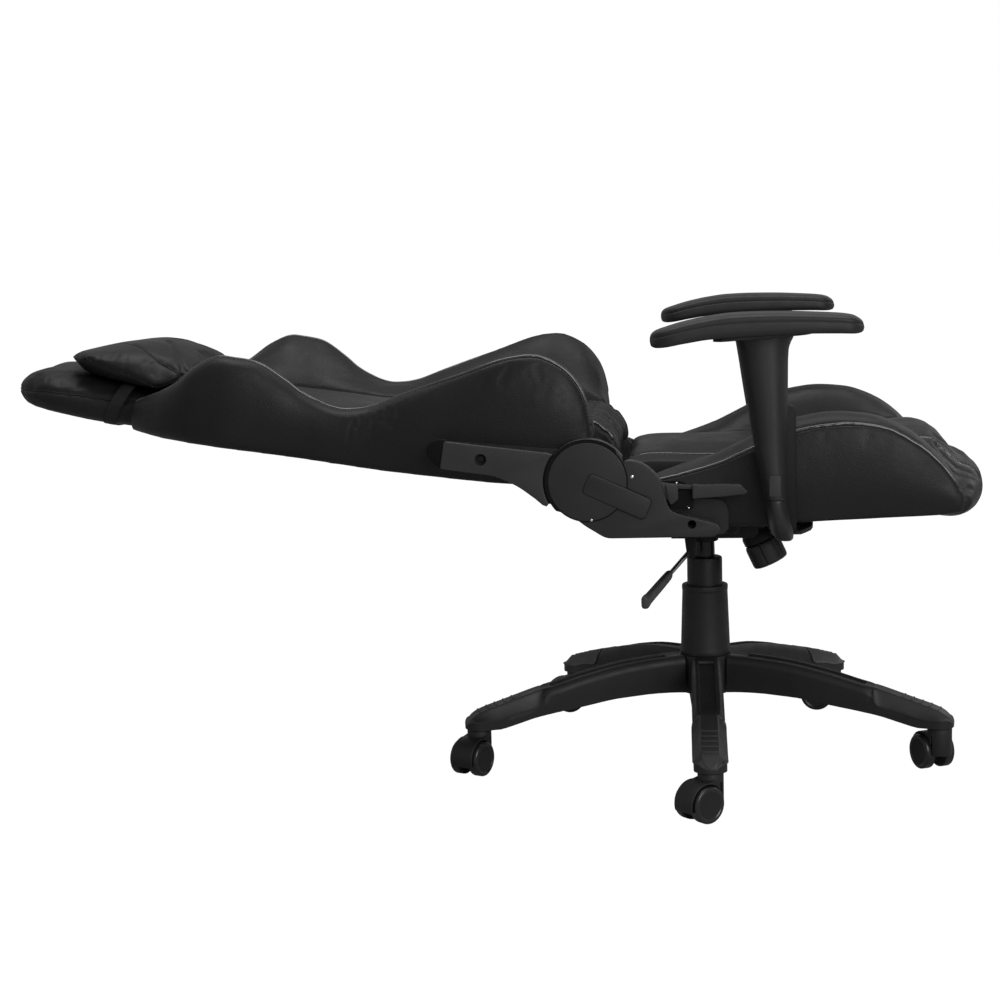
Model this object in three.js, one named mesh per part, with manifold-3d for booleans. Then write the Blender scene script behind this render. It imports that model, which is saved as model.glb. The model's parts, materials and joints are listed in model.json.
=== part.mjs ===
// Reclining gaming chair, laid right back: five-star nylon base on twin-wheel casters, gas lift,
// tilt mechanism, upholstered bucket seat, two side recliners, winged backrest and two height-adjustable
// armrests. Millimetres, +Z up, the sitter faces +X. Right-hand pieces lie on the -Y side.
import * as THREE from "three";
import { mergeVertices } from "three/addons/utils/BufferGeometryUtils.js";
import Module from "manifold-3d";

const wasm = await Module();
wasm.setup();

// ---- driving sizes -------------------------------------------------------------------------------
const GAP = 0.3; // between pieces that touch
const RUNNING = 0.4; // round a pin or shaft that turns
const SLIVER = 0.01; // edges shorter than this are closed up
const DEGREE = Math.PI / 180;

// base
const BASE_TURN = 1;
const LEG_ANGLES = [-90, -18, 54, 126, 198].map((angle) => angle + BASE_TURN);
const LEG_REACH = 320; // column axis to the middle of a leg's tip
const CASTER_REACH = LEG_REACH + 2; // column axis to caster axis
const LEG_WIDTH = 41.5;
const LEG_TIP_TOP = 81;
const LEG_WALL = 3.5;
const LEG_RIB = 2.6;
const LEG_BAYS = 4;
const LEG_CHANNEL_WIDTH = 23;
const LEG_CHANNEL_DEPTH = 2.6;
const HUB_RADIUS = 38;
const HUB_TOP = 141;
const HUB_BOTTOM = 91;
const GRIP_START = LEG_REACH - 84.5; // from the column axis
const GRIP_THICKNESS = 2.5;
const GRIP_RIBS = 5;
const GRIP_RIB_PITCH = 11.8;

// casters
const CASTER_TOP = 60; // underside of a leg's tip
const CASTER_TRAIL = 19;
const CASTER_TURNS = [222, 116, 172, 205, 243]; // which way each one trails, in degrees
const WHEEL_DIAMETER = 46.5;
const WHEEL_SIDES = 16;
const WHEEL_TRACK = 43; // over both wheels
const WHEEL_DISC = 5; // width of the outer disc
const WHEEL_TREAD = 8.5;
const AXLE_RADIUS = 3;
const FENDER_CLEARANCE = 1.4;
const FENDER_WALL = 2.4;
const FENDER_WEB = 10;
const FENDER_END = 0.3; // radians below the axle, on the trailing side
const NECK_RADIUS = 16;
const STEM_RADIUS = 5.5;
const STEM_LENGTH = 14;

// gas lift
const TUBE_RADIUS = 24;
const TUBE_BOTTOM = 64;
const TUBE_TOP = 275;
const SPRING_RADIUS = 14;
const SPRING_BOTTOM = 100;
const COVER_TOP_RADIUS = 31;
const COVER_FOOT_RADIUS = 34;
const COVER_TOP = 237;
const COVER_WALL = 2.2;

// tilt mechanism
const TRAY_BOTTOM = 292;
const TRAY_REAR_TOP = 316;
const TRAY_FRONT_TOP = 333;
const TRAY_REAR = -45;
const TRAY_FRONT = 72;
const TRAY_WIDTH = 100;
const STEEL = 3;
const BOSS_RADIUS = 19;
const TILT_X = 36;
const TILT_Z = 322;
const TILT_PIN_RADIUS = 5;
const KNOB_FOOT_X = 91;
const KNOB_FOOT_Z = 266;
const KNOB_LEAN = 25;
const KNOB_RADIUS = 25;
const KNOB_HEIGHT = 33;
const KNOB_FLUTES = 14;
const GAS_LEVER_RADIUS = 3.2;
const GAS_LEVER_INNER = [-20, -26, 286];
const GAS_LEVER_OUTER = [-75, -250, 256];
const GAS_LEVER_GRIP = 128; // length of the plastic grip

// seat
const PLATE_BOTTOM = 339;
const PLATE_THICKNESS = 4;
const FRAME_HEIGHT = 18;
const FRAME_HALF_WIDTH = 165;
const FRAME_REAR = -90;
const FRAME_FRONT = 300;
const FRAME_RAIL = 26;
const FRAME_WALL = 2.5;
const SEAT_REAR = -104;
const SEAT_INNER = 150; // half width of the centre cushion
const SEAT_OUTER = 256; // half width over the bolsters
const SEAT_FRONT = 370;
const BOLSTER_REAR = -75;
const BOLSTER_FRONT = 322;
const BOLSTER_TOP = 484;

// recliners
const HINGE_X = -142;
const HINGE_Z = 415;
const RECLINE = 80; // from sitting up to the laid-back position shown
const SHAFT_RADIUS = 6;
const HINGE_PLATE = 5;
const HINGE_EYE = 40;
const RECLINER_RADIUS = 37;
const RECLINER_WIDTH = 9;
const BACK_ARM = 5;
const BACK_ARM_LENGTH = 181; // hinge to the end of the arm
const BACK_ARM_BOLT = 135;
const DISC_RADIUS = 49;
const DISC_RING = 55;
const COVER_SHELL = 2.4;
const LEVER_THICKNESS = 4;

// backrest, measured up it from the hinge when it stands upright
const BACK_FOOT = 27;
const HEAD_FOOT = 600;
const HEAD_TOP = HEAD_FOOT + 190;
const HEAD_HALF_WIDTH = 132;
const HEAD_FRONT = 5;
const BACK_CROWN = 3;
const HEAD_CORNER = 70;
const WING_TOP = HEAD_FOOT + 11;
const PANEL_THICKNESS = 4;
const BACK_TUBE_RADIUS = 9;
const BACK_TUBE_WALL = 2;
const BACK_TUBE_HALF_WIDTH = 190;
const BACK_TUBE_TOP = HEAD_FOOT - 30;
const BACK_TUBE_BEND = 50;
const PILLOW_FOOT = HEAD_FOOT - 47;
const PILLOW_TOP = PILLOW_FOOT + 175;
const PILLOW_HALF_WIDTH = 136;
const PILLOW_THICKNESS = 52;
const STRAP_WIDTH = 18;
const STRAP_THICKNESS = 1.5;
const STRAP_SLACK = 0.6; // between the strap and the headrest
const STRAP_PLACE = HEAD_FOOT + 36;

// armrests
const ARM_STEEL = 6;
const ARM_X = 87;
const ARM_UPRIGHT_WIDTH = 50;
const ARM_UPRIGHT_TOP = 505;
const ARM_INNER = 268; // inner face of the upright, from the middle plane
const ARM_LEG_TOP = 343;
const SHROUD_BOTTOM = 342;
const SHROUD_TOP = 394;
const POST_TOP = 588;
const POST_OUTER = 322;
const POST_WALL = 3;
const RACK_PITCH = 14;
const RACK_STEPS = 6;
const BUTTON_WIDTH = 10.4;
const BUTTON_HEIGHT = 26;
const PAD_LENGTH = 256;
const PAD_WIDTH = 93;
const PAD_THICKNESS = 26;
const PAD_REAR = -62;
const PAD_TOP = POST_TOP + 33;

// ---- finishes ------------------------------------------------------------------------------------
const finish = (color, roughness, metalness = 0) =>
  new THREE.MeshStandardMaterial({ color, roughness, metalness });
const NYLON = finish(0x252526, 0.55);
const SOFT_PLASTIC = finish(0x2b2b2c, 0.7);
const RUBBER = finish(0x1b1b1c, 0.8);
const BLACK_STEEL = finish(0x1f1f20, 0.4, 0.6);
const BRIGHT_STEEL = finish(0x9a9a9c, 0.3, 0.9);
const ARM_GREY = finish(0x353637, 0.5);
const LEATHER = finish(0x1c1c1d, 0.45);
const STRAP_FABRIC = finish(0x202021, 0.9);

// ---- solids --------------------------------------------------------------------------------------
const point = (x, y) => new THREE.Vector2(x, y);
const place = (x, y, z) => new THREE.Vector3(x, y, z);

// A closed geometry as a manifold-3d solid with its faces turned outwards.
function asSolid(geometry) {
  const bare = new THREE.BufferGeometry().setAttribute(
    "position",
    (geometry.index ? geometry.toNonIndexed() : geometry).getAttribute("position"),
  );
  const merged = mergeVertices(bare, 1e-3);
  const build = (triVerts) =>
    new wasm.Manifold(
      new wasm.Mesh({ numProp: 3, vertProperties: merged.attributes.position.array, triVerts }),
    );
  const faces = new Uint32Array(merged.index.array);
  const made = build(faces);
  return made.volume() >= 0 ? made : build(faces.slice().reverse());
}

// The mesh of a solid, without the crumbs a cut can leave.
function asGeometry(made) {
  const whole = made.decompose().filter((body) => body.volume() > 1);
  const mesh = (whole.length === 1 ? whole[0] : made).simplify(SLIVER).getMesh();
  return new THREE.BufferGeometry()
    .setAttribute("position", new THREE.BufferAttribute(mesh.vertProperties, 3))
    .setIndex(new THREE.BufferAttribute(mesh.triVerts, 1));
}

const join = (...parts) => asGeometry(parts.map(asSolid).reduce((all, part) => all.add(part)));
const cut = (body, ...tools) =>
  asGeometry(tools.map(asSolid).reduce((left, tool) => left.subtract(tool), asSolid(body)));
const common = (a, b) => asGeometry(asSolid(a).intersect(asSolid(b)));

// A flat outline in X and Y, from one height to another.
function slab(shape, bottom, top, edge = 0, curveSegments = 3) {
  const made = new THREE.ExtrudeGeometry(shape, {
    depth: top - bottom - 2 * edge,
    bevelEnabled: edge > 0,
    bevelThickness: edge,
    bevelSize: edge,
    bevelOffset: -edge,
    bevelSegments: 1,
    curveSegments,
  });
  return made.translate(0, 0, bottom + edge);
}

// A side view in X and Z, from one Y to another.
const sidewall = (shape, from, to, edge = 0, curveSegments = 3) =>
  slab(shape, from, to, edge, curveSegments).rotateX(Math.PI / 2).scale(1, -1, 1);

// A profile of [radius, height] pairs turned about the Z axis.
const turned = (profile, sides = 18) =>
  new THREE.LatheGeometry(
    profile.map(([radius, height]) => point(radius, height)),
    sides,
  ).rotateX(Math.PI / 2);

const rod = (radius, bottom, top, sides = 16) =>
  turned([[0, bottom], [radius, bottom], [radius, top], [0, top]], sides);

// A rod along Y.
const crossRod = (radius, x, z, from, to, sides = 16) =>
  rod(radius, from, to, sides).rotateX(-Math.PI / 2).translate(x, 0, z);

const block = (x0, x1, y0, y1, z0, z1) =>
  new THREE.BoxGeometry(x1 - x0, y1 - y0, z1 - z0).translate(
    (x0 + x1) / 2,
    (y0 + y1) / 2,
    (z0 + z1) / 2,
  );

function outline(pairs) {
  return new THREE.Shape(pairs.map(([x, y]) => point(x, y)));
}

// A rectangle with rounded corners.
function roundedRectangle(x0, x1, y0, y1, radius) {
  const r = Math.min(radius, (x1 - x0) / 2 - 0.01, (y1 - y0) / 2 - 0.01);
  const shape = new THREE.Shape();
  shape.moveTo(x0 + r, y0);
  shape.lineTo(x1 - r, y0);
  shape.absarc(x1 - r, y0 + r, r, -Math.PI / 2, 0);
  shape.lineTo(x1, y1 - r);
  shape.absarc(x1 - r, y1 - r, r, 0, Math.PI / 2);
  shape.lineTo(x0 + r, y1);
  shape.absarc(x0 + r, y1 - r, r, Math.PI / 2, Math.PI);
  shape.lineTo(x0, y0 + r);
  shape.absarc(x0 + r, y0 + r, r, Math.PI, 1.5 * Math.PI);
  return shape;
}

// Rings of points with the same count, skinned one after another and closed at both ends.
function loft(rings) {
  const count = rings[0].length;
  const positions = rings.flat().flatMap((p) => [p.x, p.y, p.z]);
  const faces = [];
  for (let k = 0; k + 1 < rings.length; k += 1)
    for (let i = 0; i < count; i += 1) {
      const a = k * count + i;
      const b = k * count + ((i + 1) % count);
      faces.push(a, b, a + count, b, b + count, a + count);
    }
  const end = (ring, first, forwards) => {
    const centre = ring.reduce((sum, p) => sum.add(p), place(0, 0, 0)).divideScalar(count);
    const index = positions.length / 3;
    positions.push(centre.x, centre.y, centre.z);
    for (let i = 0; i < count; i += 1) {
      const next = (i + 1) % count;
      if (forwards) faces.push(index, first + i, first + next);
      else faces.push(index, first + next, first + i);
    }
  };
  end(rings[0], 0, false);
  end(rings[rings.length - 1], (rings.length - 1) * count, true);
  return new THREE.BufferGeometry()
    .setAttribute("position", new THREE.Float32BufferAttribute(positions, 3))
    .setIndex(faces);
}

// Smooth values between rows of [station, value, value...].
function between(rows) {
  const stations = rows.map((row) => row[0]);
  const width = rows[0].length - 1;
  const smooth = new THREE.CubicInterpolant(
    stations,
    rows.flatMap((row) => row.slice(1)),
    width,
    new Float32Array(width),
  );
  const last = stations[stations.length - 1];
  return (station) =>
    Array.from(smooth.evaluate(Math.min(last, Math.max(stations[0], station))));
}

const steps = (from, to, count) =>
  Array.from({ length: count + 1 }, (_, i) => from + ((to - from) * i) / count);

function piece(name, geometry, material) {
  const mesh = new THREE.Mesh(asGeometry(asSolid(geometry)), material);
  mesh.name = name;
  return mesh;
}

// Adds a right-hand piece and its mirror image on the left.
function pair(group, name, geometry, material) {
  const right = piece(name + "_right", geometry, material);
  const left = right.clone();
  left.name = name + "_left";
  left.scale.y = -1;
  group.add(right, left);
}

// ---- five-star base ------------------------------------------------------------------------------
const legTop = new THREE.CubicBezierCurve(
  point(HUB_RADIUS, HUB_TOP),
  point(LEG_REACH * 0.375, HUB_TOP),
  point(LEG_REACH * 0.625, HUB_TOP - 22),
  point(LEG_REACH + 8, LEG_TIP_TOP),
);
const legUnder = new THREE.CubicBezierCurve(
  point(HUB_RADIUS, HUB_BOTTOM),
  point(LEG_REACH * 0.33, HUB_BOTTOM + 5),
  point(LEG_REACH * 0.655, CASTER_TOP + 22),
  point(LEG_REACH - LEG_WIDTH / 2, CASTER_TOP),
);

// Height of a leg's top at a distance from the column axis.
function legTopAt(reach) {
  const pts = legTop.getPoints(6);
  const after = pts.findIndex((p) => p.x >= reach);
  if (after <= 0) return after === 0 ? HUB_TOP : LEG_TIP_TOP;
  const [a, b] = [pts[after - 1], pts[after]];
  return a.y + ((b.y - a.y) * (reach - a.x)) / (b.x - a.x);
}

// A leg's side view, its top and nose drawn in by an inset.
function legOutline(inset) {
  const nose = LEG_REACH + LEG_WIDTH / 2 - inset;
  const top = legTop.getPoints(6).map((p) => point(p.x, p.y - inset));
  const shape = new THREE.Shape([point(0, HUB_BOTTOM), ...legUnder.getPoints(4)]);
  shape.lineTo(nose - 3, CASTER_TOP);
  shape.lineTo(nose, CASTER_TOP + 6);
  shape.quadraticCurveTo(nose + 1, LEG_TIP_TOP - 6, LEG_REACH + 8 - inset, LEG_TIP_TOP - inset);
  for (const p of top.reverse().slice(1)) shape.lineTo(p.x, p.y);
  shape.lineTo(0, HUB_TOP - inset);
  return shape;
}

// A whole leg, all its outer faces drawn in by an inset.
function legBlank(inset) {
  const half = LEG_WIDTH / 2 - inset;
  const plan = new THREE.Shape();
  plan.moveTo(0, -half);
  plan.lineTo(LEG_REACH + 4, -half);
  plan.absellipse(LEG_REACH + 4, 0, LEG_WIDTH / 2 - 3 - inset, half, -Math.PI / 2, Math.PI / 2);
  plan.lineTo(0, half);
  return common(
    sidewall(legOutline(inset), -half, half, 3),
    slab(plan, CASTER_TOP - 10, HUB_TOP + 10, 0, 6),
  );
}

// Where the grip pad wraps a leg, its edge moved by a clearance.
function gripZone(clearance) {
  const start = GRIP_START - clearance;
  const nose = LEG_REACH + LEG_WIDTH;
  return sidewall(
    outline([
      [start, HUB_TOP],
      [start, CASTER_TOP + 37 - clearance],
      [start + 7, CASTER_TOP + 26 - clearance],
      [start + 38, CASTER_TOP + 19.5 - clearance],
      [LEG_REACH - 17, CASTER_TOP + 12 - clearance],
      [nose, CASTER_TOP + 10.5 - clearance],
      [nose, HUB_TOP],
    ]),
    -LEG_WIDTH,
    LEG_WIDTH,
  );
}

function channelTool() {
  const from = HUB_RADIUS + 14;
  const to = GRIP_START - 10;
  const floor = steps(from, to, 4).map((r) => [r, legTopAt(r) - LEG_CHANNEL_DEPTH]);
  const side = outline([...floor, [to, HUB_TOP + 5], [from, HUB_TOP + 5]]);
  const half = LEG_CHANNEL_WIDTH / 2;
  return sidewall(side, -half, half);
}

// The bays under a leg, open below, with cross ribs and a middle rib left between them.
function underBays() {
  const roof = LEG_WALL + GRIP_THICKNESS + GAP;
  const first = HUB_RADIUS + 10;
  const last = LEG_REACH - LEG_WIDTH / 2 - 2;
  const span = (last - first) / LEG_BAYS;
  const bays = [];
  for (let k = 0; k < LEG_BAYS; k += 1) {
    const from = first + k * span + LEG_RIB / 2;
    const to = first + (k + 1) * span - LEG_RIB / 2;
    const ceiling = [from, to].map((r) => [r, legTopAt(r) - roof]);
    const side = outline([[from, 0], [to, 0], ...ceiling.reverse()]);
    const wide = LEG_WIDTH / 2 - LEG_WALL;
    bays.push(sidewall(side, LEG_RIB / 2, wide), sidewall(side, -wide, -LEG_RIB / 2));
  }
  return bays;
}

function makeBase() {
  const group = new THREE.Group();
  const padRecess = cut(
    common(legBlank(0), gripZone(GAP)),
    legBlank(GRIP_THICKNESS + GAP),
  );
  const socket = rod(STEM_RADIUS + RUNNING, 0, CASTER_TOP + STEM_LENGTH + 2, 12);
  const leg = cut(
    legBlank(0),
    padRecess,
    channelTool(),
    ...underBays(),
    socket.translate(CASTER_REACH, 0, 0),
  );
  const hub = turned([
    [0, HUB_BOTTOM - 3],
    [HUB_RADIUS - 6, HUB_BOTTOM - 3],
    [HUB_RADIUS, HUB_BOTTOM + 4],
    [HUB_RADIUS, HUB_TOP - 3],
    [HUB_RADIUS - 3, HUB_TOP],
    [0, HUB_TOP],
  ]);
  const legs = LEG_ANGLES.map((angle) => leg.clone().rotateZ(angle * DEGREE));
  const bore = rod(TUBE_RADIUS + GAP, 0, HUB_TOP + 10, 20);
  group.add(piece("base_star", cut(join(hub, ...legs), bore), NYLON));

  const shell = cut(common(legBlank(0), gripZone(0)), legBlank(GRIP_THICKNESS));
  const ribs = steps(0, GRIP_RIBS - 1, GRIP_RIBS - 1).map((k) => {
    const r = GRIP_START + 38.5 + k * GRIP_RIB_PITCH;
    const top = legTopAt(r);
    return block(r - 1.2, r + 1.2, -11, 11, top - 1.5, top + 0.7);
  });
  const pad = join(shell, ...ribs);
  LEG_ANGLES.forEach((angle, k) =>
    group.add(piece(`grip_pad_${k + 1}`, pad.clone().rotateZ(angle * DEGREE), SOFT_PLASTIC)),
  );
  return group;
}

// ---- casters -------------------------------------------------------------------------------------
// Made with the stem on the Z axis and the wheels trailing along +X.
function makeCaster(index) {
  const group = new THREE.Group();
  const wheel = WHEEL_DIAMETER / 2;
  const inside = wheel + FENDER_CLEARANCE;
  const outside = inside + FENDER_WALL;
  const half = WHEEL_TRACK / 2 - WHEEL_DISC;
  const hood = new THREE.Shape();
  hood.moveTo(-NECK_RADIUS + 2, wheel - 1);
  hood.lineTo(-NECK_RADIUS + 2, CASTER_TOP - 8);
  hood.lineTo(CASTER_TRAIL, wheel + outside - 0.5);
  hood.absarc(CASTER_TRAIL, wheel, outside, Math.PI / 2 - 0.05, -FENDER_END, true);
  hood.lineTo(CASTER_TRAIL + 7, wheel - 7);
  hood.lineTo(CASTER_TRAIL - 8, wheel - 7);
  const wells = [-1, 1].map((side) =>
    crossRod(
      inside,
      CASTER_TRAIL,
      wheel,
      side > 0 ? FENDER_WEB / 2 : -half - 5,
      side > 0 ? half + 5 : -FENDER_WEB / 2,
      16,
    ),
  );
  const neck = turned([
    [0, wheel - 1],
    [NECK_RADIUS, wheel - 1],
    [NECK_RADIUS, CASTER_TOP - 4],
    [NECK_RADIUS - 3, CASTER_TOP - GAP * 2],
    [STEM_RADIUS, CASTER_TOP - GAP * 2],
    [STEM_RADIUS, CASTER_TOP + STEM_LENGTH - 2],
    [STEM_RADIUS - 2, CASTER_TOP + STEM_LENGTH],
    [0, CASTER_TOP + STEM_LENGTH],
  ], 12);
  // The hood is round in plan at the stem and straight-sided behind it.
  const wide = half - GAP;
  const plan = new THREE.Shape();
  plan.absarc(0, 0, wide, Math.PI / 2, 1.5 * Math.PI);
  plan.lineTo(CASTER_TRAIL + outside + 5, -wide);
  plan.lineTo(CASTER_TRAIL + outside + 5, wide);
  const body = cut(
    join(common(sidewall(hood, -wide, wide, 0, 6), slab(plan, 0, 99, 0, 6)), neck),
    ...wells,
    crossRod(AXLE_RADIUS + RUNNING, CASTER_TRAIL, wheel, -half, half, 8),
  );
  group.add(piece(`caster_hood_${index + 1}`, body, NYLON));

  // The two wheels on their axle, standing on a flat of the tread.
  const rim = wheel / Math.cos(Math.PI / WHEEL_SIDES);
  const outer = WHEEL_TRACK / 2;
  const disc = outer - WHEEL_DISC;
  const tread = disc - WHEEL_TREAD;
  const side = [
    [rim - 3, outer],
    [rim, outer - 2],
    [rim, disc],
    [rim - 0.8, tread],
    [AXLE_RADIUS, tread],
  ];
  const mirrored = side.map(([r, y]) => [r, -y]).reverse();
  const wheels = turned([[0, outer - 1.2], ...side, ...mirrored, [0, -outer + 1.2]], WHEEL_SIDES)
    .rotateX(-Math.PI / 2)
    .rotateY(Math.PI / WHEEL_SIDES)
    .translate(CASTER_TRAIL, 0, wheel);
  group.add(piece(`caster_wheels_${index + 1}`, wheels, RUBBER));

  const leg = LEG_ANGLES[index] * DEGREE;
  group.position.set(CASTER_REACH * Math.cos(leg), CASTER_REACH * Math.sin(leg), 0);
  group.rotation.z = CASTER_TURNS[index] * DEGREE;
  return group;
}

// ---- gas lift ------------------------------------------------------------------------------------
function makeGasLift() {
  const group = new THREE.Group();
  const bore = SPRING_RADIUS + RUNNING;
  const tube = turned([
    [0, TUBE_BOTTOM],
    [TUBE_RADIUS - 4, TUBE_BOTTOM],
    [TUBE_RADIUS, HUB_BOTTOM],
    [TUBE_RADIUS, TUBE_TOP - 3],
    [TUBE_RADIUS - 1.5, TUBE_TOP],
    [bore, TUBE_TOP],
    [bore, TUBE_BOTTOM + 6],
    [0, TUBE_BOTTOM + 6],
  ]);
  group.add(piece("gas_lift_tube", tube, BLACK_STEEL));

  const throat = TUBE_RADIUS + GAP;
  const cover = turned([
    [COVER_FOOT_RADIUS, HUB_TOP + GAP],
    [COVER_TOP_RADIUS, COVER_TOP - 6],
    [COVER_TOP_RADIUS, COVER_TOP],
    [throat, COVER_TOP],
    [throat, COVER_TOP - COVER_WALL],
    [COVER_TOP_RADIUS - COVER_WALL, COVER_TOP - COVER_WALL - 2],
    [COVER_FOOT_RADIUS - COVER_WALL, HUB_TOP + GAP],
    [COVER_FOOT_RADIUS, HUB_TOP + GAP],
  ], 18);
  group.add(piece("column_cover", cover, NYLON));

  const spring = turned([
    [0, SPRING_BOTTOM],
    [SPRING_RADIUS - 2, SPRING_BOTTOM],
    [SPRING_RADIUS, SPRING_BOTTOM + 3],
    [SPRING_RADIUS, TRAY_BOTTOM - 8],
    [SPRING_RADIUS - 1.2, TRAY_FRONT_TOP - 4],
    [4, TRAY_FRONT_TOP - 4],
    [4, TRAY_FRONT_TOP - 1],
    [0, TRAY_FRONT_TOP - 1],
  ]);
  group.add(piece("gas_spring", spring, BLACK_STEEL));
  return group;
}

// ---- tilt mechanism ------------------------------------------------------------------------------
// Puts what is made along +Z with its foot at the origin onto the leaning knob axis.
const ontoKnobAxis = (geometry) =>
  geometry.rotateY(-KNOB_LEAN * DEGREE).translate(KNOB_FOOT_X, 0, KNOB_FOOT_Z);

function flutedKnob() {
  const shape = new THREE.Shape();
  const turns = KNOB_FLUTES * 2;
  for (let i = 0; i < turns; i += 1) {
    const angle = (2 * Math.PI * i) / turns;
    const radius = KNOB_RADIUS - (i % 2 ? 1.8 : 0);
    const method = i ? "lineTo" : "moveTo";
    shape[method](radius * Math.cos(angle), radius * Math.sin(angle));
  }
  return slab(shape, 0, KNOB_HEIGHT, 1.2);
}

// Room for the gas lever's rod to rock about its inner end.
function flaredBore() {
  const bore = GAS_LEVER_RADIUS + RUNNING;
  const length = 20;
  const mouth = bore + length * Math.tan(7 * DEGREE);
  return onLeverLine(turned([[0, -length], [mouth, -length], [bore, 0], [mouth, length], [0, length]], 12));
}

function makeMechanism() {
  const group = new THREE.Group();
  const half = TRAY_WIDTH / 2;
  const side = outline([
    [TRAY_REAR, TRAY_BOTTOM + 4],
    [TRAY_REAR + 6, TRAY_BOTTOM],
    [TRAY_FRONT - 8, TRAY_BOTTOM],
    [TRAY_FRONT, TRAY_BOTTOM + 8],
    [TRAY_FRONT, TRAY_FRONT_TOP],
    [TILT_X - 12, TRAY_FRONT_TOP],
    [TRAY_REAR, TRAY_REAR_TOP],
  ]);
  const hollow = outline([
    [TRAY_REAR + STEEL, TRAY_BOTTOM + STEEL + 1],
    [TRAY_FRONT - STEEL - 6, TRAY_BOTTOM + STEEL],
    [TRAY_FRONT - STEEL, TRAY_BOTTOM + STEEL + 7],
    [TRAY_FRONT - STEEL, TRAY_FRONT_TOP + 10],
    [TRAY_REAR + STEEL, TRAY_FRONT_TOP + 10],
  ]);
  const boss = rod(BOSS_RADIUS, TRAY_BOTTOM - 1, TRAY_FRONT_TOP - 5);
  const springCup = ontoKnobAxis(rod(BOSS_RADIUS, KNOB_HEIGHT + RUNNING, KNOB_HEIGHT + 16));
  const leverEar = sidewall(
    roundedRectangle(
      GAS_LEVER_INNER[0] - 8,
      GAS_LEVER_INNER[0] + 8,
      GAS_LEVER_INNER[2] - 8,
      TRAY_BOTTOM + 2,
      5,
    ),
    GAS_LEVER_INNER[1] - 8,
    GAS_LEVER_INNER[1] - 4,
  );
  const housing = cut(
    join(
      cut(sidewall(side, -half, half), sidewall(hollow, -half + STEEL, half - STEEL)),
      boss,
      springCup,
      leverEar,
    ),
    rod(SPRING_RADIUS + GAP, TRAY_BOTTOM - 10, TRAY_FRONT_TOP + 10, 18),
    ontoKnobAxis(rod(4 + RUNNING, KNOB_HEIGHT - 5, KNOB_HEIGHT + 20, 12)),
    crossRod(TILT_PIN_RADIUS + GAP, TILT_X, TILT_Z, -half - 5, half + 5, 16),
    flaredBore(),
  );
  group.add(piece("tilt_housing", housing, BLACK_STEEL));

  const flange = half + GAP + STEEL;
  const head = flange + 4;
  const pinHalf = [
    [TILT_PIN_RADIUS, flange + GAP],
    [TILT_PIN_RADIUS + 3, flange + GAP],
    [TILT_PIN_RADIUS + 3, head],
    [0, head],
  ];
  const pinFoot = pinHalf.map(([r, y]) => [r, -y]).reverse();
  const pin = turned([...pinFoot, ...pinHalf], 14)
    .rotateX(-Math.PI / 2)
    .translate(TILT_X, 0, TILT_Z);
  group.add(piece("tilt_pin", pin, BRIGHT_STEEL));

  const knob = join(flutedKnob(), rod(4, KNOB_HEIGHT - 2, KNOB_HEIGHT + 12, 12));
  group.add(piece("tension_knob", ontoKnobAxis(knob), SOFT_PLASTIC));

  const length = leverLength();
  const gripFrom = length - GAS_LEVER_GRIP;
  const handle = onLeverLine(
    join(
      slab(roundedRectangle(-7.5, 7.5, -4, 4, 3), gripFrom, length - 5, 0, 2),
      slab(roundedRectangle(-8.5, 8.5, -5, 5, 3.5), length - 13, length, 1.5, 2),
    ),
  );
  const bored = cut(handle, leverRod(GAS_LEVER_RADIUS + GAP, gripFrom - 5, gripFrom + 40 + GAP));
  group.add(piece("gas_lever_grip", bored, SOFT_PLASTIC));
  group.add(
    piece("gas_lever_rod", leverRod(GAS_LEVER_RADIUS, 0, gripFrom + 40), BRIGHT_STEEL),
  );
  return group;
}

// The gas lever lies on the line between its two ends.
const leverLine = place(...GAS_LEVER_OUTER).sub(place(...GAS_LEVER_INNER));
const leverLength = () => leverLine.length();
function onLeverLine(geometry) {
  const turn = new THREE.Quaternion().setFromUnitVectors(
    place(0, 0, 1),
    leverLine.clone().normalize(),
  );
  return geometry.applyQuaternion(turn).translate(...GAS_LEVER_INNER);
}
const leverRod = (radius, from, to) => onLeverLine(rod(radius, from, to, 12));

// ---- seat ----------------------------------------------------------------------------------------
const FRAME_BOTTOM = PLATE_BOTTOM + PLATE_THICKNESS + GAP;
const FRAME_TOP = FRAME_BOTTOM + FRAME_HEIGHT;
const CUSHION_BOTTOM = 345; // round the frame, which lies in a recess

// The recess for the frame under the cushion and the bolsters.
const frameRecess = () =>
  block(
    FRAME_REAR - GAP,
    FRAME_FRONT + GAP,
    -FRAME_HALF_WIDTH - GAP,
    FRAME_HALF_WIDTH + GAP,
    FRAME_BOTTOM - 40,
    FRAME_TOP + GAP,
  );

function makeSeatPlate() {
  const plan = roundedRectangle(-75, 95, -85, 85, 12);
  const opening = new THREE.Path();
  opening.absarc(0, 0, BOSS_RADIUS + 7, 0, 2 * Math.PI);
  plan.holes.push(opening);
  const flangeSide = outline([
    [TILT_X - 18, PLATE_BOTTOM + 1],
    [TILT_X - 9, TILT_Z - 9],
    [TILT_X + 9, TILT_Z - 9],
    [TILT_X + 18, PLATE_BOTTOM + 1],
  ]);
  const inner = TRAY_WIDTH / 2 + GAP;
  const bored = cut(
    join(
      slab(plan, PLATE_BOTTOM, PLATE_BOTTOM + PLATE_THICKNESS),
      sidewall(flangeSide, inner, inner + STEEL),
      sidewall(flangeSide, -inner - STEEL, -inner),
    ),
    crossRod(TILT_PIN_RADIUS + RUNNING, TILT_X, TILT_Z, -inner - 9, inner + 9, 16),
  );
  return piece("seat_plate", bored, BLACK_STEEL);
}

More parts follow.
